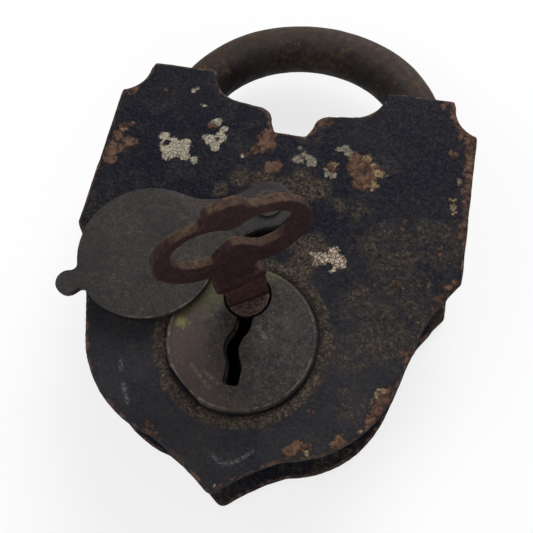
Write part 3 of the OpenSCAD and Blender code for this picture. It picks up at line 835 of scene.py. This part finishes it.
RUST_PATCHES = (
    (-37.7, 18.6, 1.9), (-37.4, 22.2, 1.2), (-37.0, 24.6, 0.9), (-35.2, 25.8, 0.5),
    (-34.7, 20.7, 1.3), (-33.6, 21.1, 0.8), (-37.3, 15.9, 1.2), (-38.5, 16.3, 0.9),
    (-37.1, 34.5, 1.2), (-38.3, 33.8, 0.9), (-29.6, 35.1, 0.5),
    (-17.0, 27.8, 1.0), (-15.3, 24.4, 0.5),
    (-4.5, 26.3, 1.9), (-3.8, 27.4, 1.4), (-5.4, 24.2, 1.7), (-6.8, 22.9, 1.1),
    (-7.7, 22.1, 0.6), (-2.4, 19.7, 1.5), (-1.2, 19.8, 1.4), (-3.6, 25.0, 1.5), (0.6, 27.9, 0.5),
    (10.4, 21.4, 1.3), (6.0, 32.0, 0.9), (7.2, 32.7, 0.9), (8.3, 32.2, 0.6),
    (15.6, 24.2, 1.9), (16.3, 21.8, 2.8), (17.6, 19.5, 2.2), (19.2, 19.4, 1.6), (18.9, 22.4, 1.6),
    (34.7, 38.5, 0.6), (35.7, 36.0, 0.7), (37.2, 33.7, 1.3), (38.6, 32.0, 1.4), (38.9, 29.2, 1.2),
    (39.0, 26.3, 1.0), (39.2, 23.5, 0.9), (39.1, 20.7, 0.7), (35.6, 28.9, 1.0),
    (38.9, 11.8, 0.9), (38.9, 10.0, 0.8), (32.0, 41.2, 0.9), (33.5, 41.6, 0.6), (32.1, 40.2, 0.5),
    (26.9, 9.8, 0.5), (27.1, 11.7, 0.5), (19.7, 7.8, 0.4), (20.8, 14.6, 0.3), (35.1, 5.1, 0.5),
    (28.7, -24.4, 0.9), (28.1, -26.0, 1.1), (27.5, -27.9, 1.3), (26.5, -29.8, 1.0),
    (26.0, -31.6, 0.6),
    (39.2, -0.3, 0.6), (37.9, -1.8, 0.8), (36.3, -4.1, 0.8), (35.4, -6.2, 0.6), (34.8, -8.2, 0.5),
    (30.5, -16.2, 0.6), (31.3, -17.6, 0.5), (14.3, -37.9, 1.3), (13.0, -38.8, 0.9),
    (15.8, -37.3, 0.8), (21.5, -35.1, 1.1), (20.6, -36.0, 0.7), (12.0, -40.2, 0.6),
    (15.2, -30.7, 0.4), (27.3, -2.4, 0.6), (-14.6, -38.9, 0.6), (-12.4, -40.6, 0.6),
)
OCHRE_RIMS = (
    (17.4, 24.9, 0.8), (18.9, 23.3, 0.7), (20.4, 21.4, 0.9), (21.5, 21.6, 0.4), (20.2, 18.9, 0.7),
    (19.8, 17.4, 0.4), (36.3, 18.1, 0.4), (36.6, 16.4, 0.5), (37.0, 15.0, 0.4), (37.1, 22.8, 0.6),
    (27.7, -24.3, 0.6), (27.1, -25.3, 0.5), (26.2, -26.9, 0.5), (15.6, -38.6, 0.4),
    (25.0, -32.7, 0.5), (-36.9, 24.2, 0.5), (10.9, 22.5, 0.5),
)
GRIME_PATCHES = (
    (-12.0, 12.5, 1.6), (-8.4, 16.0, 2.2), (-3.3, 15.8, 2.6), (1.3, 15.0, 2.8), (5.9, 15.6, 3.0),
    (4.2, 18.5, 1.6), (9.0, 16.2, 2.4), (13.4, 12.8, 1.2), (9.5, 2.2, 3.4), (8.2, -2.2, 2.8),
    (5.0, 4.0, 3.0),
)
MOTTLE_PATCHES = (
    (25.8, 4.7, 6.5), (34.0, 7.3, 5.5), (29.1, -2.9, 5.5), (22.5, -8.2, 5.0), (26.7, -13.5, 6.0),
    (21.8, -18.1, 4.5), (23.0, -27.5, 3.5), (17.5, 12.0, 3.0), (33.5, -8.0, 4.0), (5.0, 30.0, 2.0),
)
PALE_SCRATCHES = (
    ((-1.2, -42.0), (1.3, -43.2)), ((1.3, -43.2), (3.4, -42.4)), ((3.4, -42.4), (6.1, -39.9)),
    ((-22.9, -27.8), (-22.2, -29.4)), ((-21.0, -32.2), (-20.3, -33.6)),
    ((-20.0, -34.2), (-19.2, -35.4)),
)
# Round the fleck that has broken into beads, and the round blow marks (x, y, radius)
CRACKLED_C, CRACKLED_R = (13.5, 0.4), 6.5
BLOW_MARKS = ((24.1, 2.4, 1.0), (EYE_C[0], EYE_C[1], 3.5))
# Farthest apart that two outline points of one rivet lie
RIVET_SPAN = 5


def line_glow(p, lines, width):
    glow = np.zeros(len(p))
    for (ax, ay), (bx, by) in lines:
        d = np.array([bx - ax, by - ay])
        q = p[:, :2] - (ax, ay)
        t = np.clip(q @ d / (d @ d), 0, 1)
        gap = np.linalg.norm(q - t[:, None] * d, axis=1)
        glow = np.maximum(glow, 1 - soft_step(gap, 0.3 * width, width))
    return glow


def rivet_plugs():
    """Plugs (x, y, radius) that close the holes of the rivets in the front plate."""
    points = NODES["case_rivets"].data.vertices
    left = sorted({(round(v.co.x / MM, 1), round(v.co.y / MM, 1)) for v in points})
    plugs = [(EYE_C[0], EYE_C[1], EYE_R + PLUG_MARGIN)]
    while left:
        x, y = left[0]
        group = [q for q in left if math.hypot(q[0] - x, q[1] - y) < RIVET_SPAN]
        left = [q for q in left if q not in group]
        xs, ys = zip(*group)
        plugs.append(((min(xs) + max(xs)) / 2, (min(ys) + max(ys)) / 2, PLUG_R))
    return plugs


def make_front_plate():
    s = bpy.context.scene.padlock_case
    plugs = rivet_plugs()
    w = Worn("front_plate_worn", "front_plate", s.grain, 3, plugs)
    p = w.p
    face = soft_step(w.n[:, 2], 0.6, 0.9)
    q = torn(p, 1.9, 1.3, 23)
    cream = np.minimum(inside(q, CREAM_FLECKS), -inside(q, FLECK_HOLES))
    rust = inside(q, RUST_PATCHES)
    w.field("cream", np.where(face > 0.3, cream, NO_PATCH))
    w.field("rust", np.where(face > 0.1, rust, np.minimum(rust, -0.6)))
    w.field("ochre", np.where(face > 0.3, inside(q, OCHRE_RIMS), NO_PATCH))

    # Dirt in a ring round the boss, in clumps under the cover's rivet, and thinner at the right
    to_boss = flat_distance(p, BOSS_C) - BOSS_R
    ring = 1.35 * bump_ring(to_boss + 0.5 * cloud(p, 2.6, 31, 3), 1.55, 1.6) ** 0.5 * face
    clumps = inside(p, GRIME_PATCHES)
    grime = np.maximum(soft_step(clumps, -1.5, 1.5), ring)
    grime = np.maximum(grime, 0.50 * soft_step(inside(p, MOTTLE_PATCHES), -3.5, 2.5))
    w.field("grime", grime * face)

    # The edges are bared further in at the right and on both sides of the notch
    right = 2.6 * soft_step(p[:, 0], 31, 35) * soft_step(p[:, 1], 5, 13)
    notch = 1 - soft_step(np.abs(np.abs(p[:, 0]) - 6), 1, 4)
    bared = np.maximum(right, notch * soft_step(p[:, 1], 25, 28))
    w.field("edge", w.edge / (1 + bared))
    # Paler, smoother varnish towards the bottom of the plate
    w.field("paler_below", soft_step(-p[:, 1], -8, 22))
    w.field("thin", soft_step(p[:, 0], 0, 1) * 0.9)
    to_beads = flat_distance(p, CRACKLED_C)
    w.field("crackle", 1 - soft_step(to_beads, CRACKLED_R - 0.5, CRACKLED_R))
    w.field("scratch", line_glow(p, PALE_SCRATCHES, 0.45) * face)
    w.blank(("sheen",))
    # Painted shade in the crevice where the plate meets the boss, and dark rims round the blow
    # marks
    crevice = (1 - soft_step(to_boss, 0.05, 0.5)) * (0.75 + 0.5 * cloud(p, 1.6, 33, 3))
    marks = [bump_ring(flat_distance(p, (x, y)), r, 0.4) for x, y, r in BLOW_MARKS]
    marks = np.max(marks, axis=0) * soft_step(cloud(p, 3, 37, 2), -0.3, 0.2)
    w.field("dark", np.maximum(0.9 * crevice * (to_boss > -2), 0.4 * marks) * face)

    # Waves and orange peel, then flecks and dirt standing proud, pitted rust and blow marks
    wave = s.wobble / MM * (cloud(p, 22, 3, 2) * 1.6 + cloud(p, 5, 5, 3))
    lift = wave * 0.8 + 0.02 * cloud(p, 1.1, 7, 2)
    lift += face * (0.10 * soft_step(cream, -0.1, 0.25))
    lift += face * soft_step(rust, -0.2, 0.5) * (0.07 * cloud(p, 1.3, 13, 3) - 0.02)
    lift += ring * (0.20 + 0.16 * cloud(p, 0.9, 17, 2)) * soft_step(to_boss, 0.5, 1.2)
    lift += face * soft_step(clumps, -0.5, 1.0) * (0.05 + 0.09 * cloud(p, 0.8, 19, 2))
    lift -= 0.03 * face * marks
    for x, y, r in plugs:
        lift += 0.05 * face * (1 - soft_step(flat_distance(p, (x, y)), r - 0.3, r + 0.4))
    side = 1 - np.abs(w.n[:, 2])
    chewed = side * (SIDE_GAIN + 0.10 * cloud(p, 2.5, 39, 3) + LEFT_GAIN * (p[:, 0] < 0))
    w.push(lift + chewed)
    return w.done("case", "black_japan", japan_finish())


def make_back_and_walls():
    s = bpy.context.scene.padlock_case
    plate_finish = bpy.data.materials.get("Japanned iron") or japan_finish()
    wall_finish = japan_finish("Japanned wall iron", 1.0)
    for name, node, grain, rounding, finish in (
        ("back_plate_worn", "back_plate", 0.00055, 2, plate_finish),
        ("case_rim_worn", "case_rim", 0.0006, 1, wall_finish),
        ("top_rim_worn", "top_rim", 0.0006, 1, wall_finish),
    ):
        w = Worn(name, node, grain, rounding)
        p = w.p
        is_plate = float(node == "back_plate")
        w.blank(("cream", "ochre"), NO_PATCH)
        w.blank(("scratch", "dark", "crackle", "thin", "paler_below"))
        # Painted reflection of the pale floor on the wall below the tip, where the wall is also
        # made smoother
        near_tip = soft_step(-p[:, 1], 36, 39) * soft_step(p[:, 0], 2.5, 6)
        w.field("sheen", near_tip * (1 - soft_step(p[:, 0], 9, 17)))
        w.field("rust", cloud(p, 9, 41, 3) * 3.0 - 1.7 - 0.2 * is_plate)
        w.field("grime", soft_step(cloud(p, 12, 43, 3), -0.2, 0.6) * 0.5)
        w.field("edge", w.edge)
        lift = s.wobble / MM * (cloud(p, 20, 47, 2) + cloud(p, 5, 49, 3)) * 0.8
        side = 1 - np.abs(w.n[:, 2])
        rim = is_plate * side * (SIDE_GAIN + 0.15 * cloud(p, 2.5, 53, 3))
        w.push(np.where(p[:, 2] < RESTS_BELOW, 0, lift) + rim)
        w.done("case", "black_japan", finish)


# Marks on the boss: olive spot and its radius, short scuffs, a dent, and the groove in its rim
LIME_SPOT, LIME_R = (-12.6, -18.4), 2.4
BOSS_SCUFFS = (
    ((-8.5, -26.5), (-4.0, -30.2)), ((-6.0, -27.2), (-2.5, -29.2)), ((2.5, -16.5), (4.5, -19.0)),
)
BOSS_DENT = (3.4, -17.2)
GROOVE_R = BOSS_R - 1.15


def make_boss():
    s = bpy.context.scene.padlock_boss
    w = Worn("keyhole_boss_worn", "keyhole_boss", s.grain, 3)
    p = w.p
    x, y = p[:, 0] - BOSS_C[0], p[:, 1] - BOSS_C[1]
    r = np.hypot(x, y)
    face = soft_step(w.n[:, 2], 0.6, 0.9)
    w.field("warm", soft_step(-x * 0.9 - y * 0.45, 1, 12))
    w.field("moss", soft_step(-x * 0.55 + y * 0.85, 3, 13) * 0.9)
    to_lime = np.hypot((p[:, 0] - LIME_SPOT[0]) / 1.2, p[:, 1] - LIME_SPOT[1])
    w.field("lime", np.maximum(0, 1 - to_lime / LIME_R) * 0.8)
    w.field("edge", w.edge)
    # Rubbed rim, more on the left than the right: partly worn bare, partly a painted highlight
    left, right = soft_step(-x * 0.9 - y * 0.35, 2, 11), soft_step(x * 0.9 - y * 0.3, 4, 12)
    w.field("rub_and_light", np.maximum(left, 0.6 * right))
    w.field("scuff", line_glow(p, BOSS_SCUFFS, 0.5))
    w.blank(("darker_tone_and_shade",))
    # Painted shade on the keyhole's walls, in the groove and along the right of the rim
    slot_wall = (w.n[:, 2] < 0.35) & (r < BOSS_R - 1.2)
    groove = bump_ring(r, GROOVE_R, 0.32) * face
    rim = 0.6 * soft_step(r, BOSS_R - 0.6, BOSS_R - 0.15) * soft_step(x * 0.9 - y * 0.3, -3, 5)
    w.field("dark", np.where(slot_wall, 0.95, np.maximum(0.15 * groove, rim)))

    # Low waves, the dent, the groove, and a hollow worn round the key
    lift = 0.05 * cloud(p, 8, 61, 3) + 0.025 * cloud(p, 1.6, 63, 3)
    lift -= 0.12 * face * bump_ring(flat_distance(p, BOSS_DENT), 0, 1.8) + 0.015 * groove
    lift -= 0.04 * face * (1 - soft_step(flat_distance(p, KEY_C), 5.0, 6.2))
    w.push(lift * soft_step(p[:, 2] - FACE_Z, 0.2, 0.8))

    # The rim is beaten flat at the lower left
    beyond = np.maximum(BEATEN[0] * x + BEATEN[1] * y - BEATEN_FROM, 0) * 0.8
    w.p[:, 0] -= BEATEN[0] * beyond
    w.p[:, 1] -= BEATEN[1] * beyond
    return w.done("case", "boss_iron", boss_finish())


# Faint marks of wear on the cover: rings (x, y, radius) from its middle, and short scuffs
SCUFF_RINGS = ((0.5, -1.2, 3.4), (-2.0, -2.6, 6.4), (1.0, 0.5, 9.6))
COVER_SCUFFS = (
    ((-17.2, 2.6), (-14.6, 4.2)), ((-15.8, 1.2), (-12.6, 2.0)), ((-27.0, -14.0), (-24.8, -15.4)),
    ((-31.5, 0.6), (-30.4, -1.6)), ((-13.0, -8.6), (-14.6, -11.0)),
)


def cover_middle():
    """Middle of the cover's round part, from the cover's box and its rivet."""
    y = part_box("drop_cover")[0].y / MM + COVER_R
    return (PIN_C[0] - math.sqrt(COVER_ARM**2 - (PIN_C[1] - y) ** 2), y)


def make_cover():
    s = bpy.context.scene.padlock_boss
    w = Worn("drop_cover_worn", "drop_cover", s.grain, 3)
    p = w.p
    disc = cover_middle()
    x, y = p[:, 0] - disc[0], p[:, 1] - disc[1]
    to_pin = flat_distance(p, PIN_C)
    face = soft_step(w.n[:, 2], 0.5, 0.9)
    w.field("warm", 0.25 + 0.2 * cloud(p, 9, 71, 2))
    w.field("moss", soft_step(cloud(p, 7, 73, 3), 0.1, 0.7) * 0.25)
    w.blank(("lime",))
    w.field("edge", w.edge)
    # Rubbed rim at the lower right and on the rivet's lobe: partly worn bare, partly a painted
    # highlight
    lobe = soft_step(p[:, 0] - PIN_C[0], -3, 1) * soft_step(PIN_C[1] - p[:, 1], -1, 2)
    w.field("rub_and_light", np.maximum(soft_step(x * 0.75 - y * 0.66, 4, 12), lobe))
    rings = [bump_ring(np.hypot(x - a, y - b), q, 0.35) for a, b, q in SCUFF_RINGS]
    scuffs = np.maximum(np.max(rings, axis=0), line_glow(p, COVER_SCUFFS, 0.4))
    broken = soft_step(cloud(p, 4.5, 75, 2), 0.0, 0.3)
    w.field("scuff", 0.7 * scuffs * broken * face)
    # Painted shade on the cover's side wall, deeper to the left
    wall = 1 - soft_step(w.n[:, 2], 0.05, 0.45)
    w.field("dark", wall * (0.85 - 0.50 * soft_step(x, 0, 8)))
    # Darker tone all over, mottled, and darker near the rivet as painted shade under the key's bow
    near_pin = 1 - soft_step(to_pin, 5, 13)
    w.field("darker_tone_and_shade", 0.36 + 0.42 * cloud(p, 6, 81, 4) + 0.34 * near_pin)

    # Low waves, the scuffs, and a face that falls away to the rim except near the rivet
    lift = 0.06 * cloud(p, 9, 77, 3) + 0.02 * cloud(p, 1.5, 79, 3)
    lift -= 0.05 * face * scuffs * broken
    lift -= 0.16 * face * soft_step(np.hypot(x, y) / COVER_R, 0.80, 1.02) * (to_pin > 9)
    w.push(lift)
    return w.done("cover", "boss_iron", bpy.data.materials.get("Dull boss iron") or boss_finish())


def make_shackle():
    s = bpy.context.scene.padlock_shackle
    w = Worn("shackle_worn", "shackle", s.grain, 3)
    p = w.p
    aside = p[:, 0] - BOW_C[0]
    above = np.maximum(p[:, 1] - BOW_C[1], 0)
    out = np.hypot(aside, above) - BOW_R
    # Outside of the bow, where it is rubbed, and the bar's upper half, where it is painted light
    w.field("outer", soft_step(0.8 * out + 0.5 * (p[:, 2] - BAR_Z), -1.5, 5.5))
    crown = (1 - soft_step(np.abs(aside), 4, 13)) * (p[:, 1] > BOW_C[1] + 15)
    w.field("inner", soft_step(-out, 1.5, 3.5) * crown)
    w.field("edge", w.edge)
    lift = 0.16 * cloud(p, 11, 91, 3) + 0.05 * cloud(p, 2.4, 93, 3)
    clear_of_case = soft_step(p[:, 1], 38.5, 43.5)
    inward = soft_step(-out, 0, 4) * (p[:, 1] > BOW_C[1])
    w.push(lift * (0.25 + 0.75 * clear_of_case) + INNER_GAIN * inward)

    # The forged bow is a little squarer than a true half round
    round_bow = np.arctan2(above, np.abs(aside))
    square = SQUARE_GAIN * np.sin(2 * round_bow) ** 2 * (p[:, 1] > BOW_C[1])
    w.p[:, 0] += square * np.cos(round_bow) * np.sign(aside)
    w.p[:, 1] += square * np.sin(round_bow)
    return w.done("shackle", "shackle_iron", shackle_finish())


def make_key():
    s = bpy.context.scene.padlock_key
    w = Worn("key_worn", "key", s.grain, 3)
    p = w.p
    z = p[:, 2]
    x, y = p[:, 0] - KEY_C[0], p[:, 1] - KEY_C[1]
    across = y * math.cos(KEY_TURN) - x * math.sin(KEY_TURN)
    along = x * math.cos(KEY_TURN) + y * math.sin(KEY_TURN)
    from_stem = np.abs(z - STEM_TOP)
    w.field("edge", w.edge)
    collar = STEM_TOP + COLLAR_RISE + COLLAR_SLOPE * along
    neck = 1 - soft_step(z, collar - 0.4, collar + 0.2)
    w.field("neck", soft_step(z, STEM_TOP + 0.1, STEM_TOP + 0.8) * neck)
    w.field("bow", 0.12 + 0.78 * soft_step(z, collar + 1.0, collar + 4.0))
    w.field("stem_face", (1 - soft_step(from_stem, 0.25, 0.6)) * soft_step(w.n[:, 2], 0.5, 0.8))

    # Painted shade in the seam where the flat meets the stem, in the crease under the collar, and
    # on the part inside the lock
    seam = 1 - soft_step(np.abs(np.abs(across) - KEY_HALF - 0.05), 0.16, 0.42)
    seam = seam * (1 - soft_step(from_stem, 0.15, 0.45)) * (np.abs(along) < 4.4)
    crease = (1 - soft_step(np.abs(z - collar + 0.2), 0.1, 0.4)) * (np.abs(along + 0.6) < 4.2)
    below = 1 - soft_step(z, BOSS_TOP - 1.4, BOSS_TOP - 0.25)
    w.field("dark", np.maximum(0.95 * below, np.maximum(0.9 * seam, 0.75 * crease)))
    lift = 0.13 * cloud(p, 6, 101, 3) + 0.05 * cloud(p, 1.5, 103, 3)
    w.push((lift + 0.02) * soft_step(z, BOSS_TOP, BOSS_TOP + 1.5))
    return w.done("key", "key_rust", key_finish())


def dress(nodes, finish):
    """Gives a finish to CAD nodes that are shown in their own shape."""
    for name in nodes:
        materials = NODES[name].data.materials
        materials.clear()
        materials.append(finish)


def make_fixings():
    dress(("case_rivets", "cover_spacer", "shackle_rivet"), inner_finish())
    dress(("cover_rivet",), bpy.data.materials.get("Dull boss iron") or boss_finish())


def make_works():
    dress((
        "drill_pin", "ward_ring", "latch_post", "stop_pin", "spring_post", "toe_block",
        "latch_lever", "tumbler_1", "tumbler_2", "tumbler_3",
    ), bpy.data.materials.get("Greased iron") or inner_finish())
    springs = ("latch_spring", "tumbler_spring_1", "tumbler_spring_2", "tumbler_spring_3")
    dress(springs, spring_finish())


# ---------------------------------------------------------------- stage
# What the camera looks at on the front plate, in millimetres, and the floor's gap below the lock
AIM = (1.3, -3.3)
FLOOR_GAP = 0.00005
# Name, place, width and power of each soft light
LIGHTS = (
    ("Key light", (0.16, 0.85, 0.62), 0.7, 11.0),
    ("Fill light", (-0.7, -0.35, 0.6), 0.6, 2.5),
    ("Front light", (0.30, -0.85, 0.40), 0.6, 2.2),
)


def put(obj, place, turn):
    """Stands a camera or a light in the scene."""
    obj.location = place
    obj.rotation_mode = "QUATERNION"
    obj.rotation_quaternion = turn
    bpy.context.scene.collection.objects.link(obj)
    return obj


def area_light(name, place, aim, width, power):
    lamp = bpy.data.lights.new(name, "AREA")
    lamp.shape = "DISK"
    lamp.size = width
    lamp.energy = power
    turn = (Vector(aim) - Vector(place)).to_track_quat("-Z", "Y")
    put(bpy.data.objects.new(name, lamp), place, turn)


def make_camera(s, aim):
    back = Vector((
        math.sin(s.azimuth) * math.cos(s.elevation),
        -math.cos(s.azimuth) * math.cos(s.elevation),
        math.sin(s.elevation),
    ))
    data = bpy.data.cameras.new("Camera")
    data.sensor_width = 36
    data.lens = s.lens
    data.clip_start = 0.005
    data.clip_end = 20
    turn = (-back).to_track_quat("-Z", "Y") @ Quaternion((0, 0, 1), s.roll)
    camera = put(bpy.data.objects.new("Camera", data), aim + back * s.distance, turn)
    bpy.context.scene.camera = camera


def make_floor(s):
    mesh = bpy.data.meshes.new("floor")
    half = s.floor / 2
    z = CAD_BOX[0].z - FLOOR_GAP
    corners = [(-half, -half, z), (half, -half, z), (half, half, z), (-half, half, z)]
    mesh.from_pydata(corners, [], [(0, 1, 2, 3)])
    mesh.materials.append(floor_finish(tuple(s.pale)))
    floor = bpy.data.objects.new("floor", mesh)
    bpy.context.scene.collection.objects.link(floor)


def make_stage():
    scene = bpy.context.scene
    s = scene.padlock_stage
    aim = Vector((AIM[0] * MM, AIM[1] * MM, PLATE_HI.z))
    make_camera(s, aim)
    make_floor(s)
    for name, place, width, power in LIGHTS:
        area_light(name, place, aim, width, power)

    scene.world = scene.world or bpy.data.worlds.new("World")
    scene.world.use_nodes = True
    sky = scene.world.node_tree.nodes["Background"]
    sky.inputs["Color"].default_value = (1, 1, 1, 1)
    sky.inputs["Strength"].default_value = s.sky
    scene.view_settings.view_transform = "Standard"


# ---------------------------------------------------------------- operators
class PADLOCK_OT_front_plate(bpy.types.Operator):
    """Make the worn front plate with its rust, paint flecks and grime"""

    bl_idname = "padlock.front_plate"
    bl_label = "Front plate"

    def execute(self, context):
        make_front_plate()
        return {"FINISHED"}


class PADLOCK_OT_back_and_walls(bpy.types.Operator):
    """Make the back plate and the wall between the plates"""

    bl_idname = "padlock.back_and_walls"
    bl_label = "Back plate and walls"

    def execute(self, context):
        make_back_and_walls()
        return {"FINISHED"}


class PADLOCK_OT_boss(bpy.types.Operator):
    """Make the round keyhole boss"""

    bl_idname = "padlock.boss"
    bl_label = "Keyhole boss"

    def execute(self, context):
        make_boss()
        return {"FINISHED"}


class PADLOCK_OT_cover(bpy.types.Operator):
    """Make the swinging keyhole cover"""

    bl_idname = "padlock.cover"
    bl_label = "Keyhole cover"

    def execute(self, context):
        make_cover()
        return {"FINISHED"}


class PADLOCK_OT_shackle(bpy.types.Operator):
    """Make the round iron shackle"""

    bl_idname = "padlock.shackle"
    bl_label = "Shackle"

    def execute(self, context):
        make_shackle()
        return {"FINISHED"}


class PADLOCK_OT_key(bpy.types.Operator):
    """Make the rusted key"""

    bl_idname = "padlock.key"
    bl_label = "Key"

    def execute(self, context):
        make_key()
        return {"FINISHED"}


class PADLOCK_OT_fixings(bpy.types.Operator):
    """Finish the rivets and the cover's spacer"""

    bl_idname = "padlock.fixings"
    bl_label = "Rivets"

    def execute(self, context):
        make_fixings()
        return {"FINISHED"}


class PADLOCK_OT_works(bpy.types.Operator):
    """Finish the latch, tumblers, springs and posts"""

    bl_idname = "padlock.works"
    bl_label = "Works"

    def execute(self, context):
        make_works()
        return {"FINISHED"}


class PADLOCK_OT_stage(bpy.types.Operator):
    """Make the pale floor, the lights and the camera"""

    bl_idname = "padlock.stage"
    bl_label = "Stage"

    def execute(self, context):
        make_stage()
        return {"FINISHED"}


class PADLOCK_PT_panel(bpy.types.Panel):
    """Sizes, colours and makers of the padlock's pieces"""

    bl_idname = "PADLOCK_PT_panel"
    bl_label = "Worn iron padlock"
    bl_space_type = "VIEW_3D"
    bl_region_type = "UI"
    bl_category = "Padlock"

    def draw(self, context):
        scene = context.scene
        for title, (name, _) in GROUPS.items():
            box = self.layout.box()
            box.label(text=title)
            settings = getattr(scene, name)
            for setting in settings.__annotations__:
                box.prop(settings, setting)
        for operator in OPERATORS:
            self.layout.operator(operator.bl_idname)


GROUPS = {
    "Case": ("padlock_case", PadlockCase),
    "Boss and cover": ("padlock_boss", PadlockBoss),
    "Shackle": ("padlock_shackle", PadlockShackle),
    "Key": ("padlock_key", PadlockKey),
    "Stage": ("padlock_stage", PadlockStage),
}
OPERATORS = (
    PADLOCK_OT_stage,
    PADLOCK_OT_front_plate,
    PADLOCK_OT_back_and_walls,
    PADLOCK_OT_boss,
    PADLOCK_OT_cover,
    PADLOCK_OT_shackle,
    PADLOCK_OT_key,
    PADLOCK_OT_fixings,
    PADLOCK_OT_works,
)


def register():
    for name, group in GROUPS.values():
        bpy.utils.register_class(group)
        setattr(bpy.types.Scene, name, bpy.props.PointerProperty(type=group))
    for operator in OPERATORS:
        bpy.utils.register_class(operator)
    bpy.utils.register_class(PADLOCK_PT_panel)


def unregister():
    bpy.utils.unregister_class(PADLOCK_PT_panel)
    for operator in reversed(OPERATORS):
        bpy.utils.unregister_class(operator)
    for name, group in GROUPS.values():
        delattr(bpy.types.Scene, name)
        bpy.utils.unregister_class(group)


def main():
    register()
    bpy.ops.padlock.stage()
    bpy.ops.padlock.front_plate()
    bpy.ops.padlock.back_and_walls()
    bpy.ops.padlock.boss()
    bpy.ops.padlock.cover()
    bpy.ops.padlock.shackle()
    bpy.ops.padlock.key()
    bpy.ops.padlock.fixings()
    bpy.ops.padlock.works()


if __name__ == "__main__":
    main()
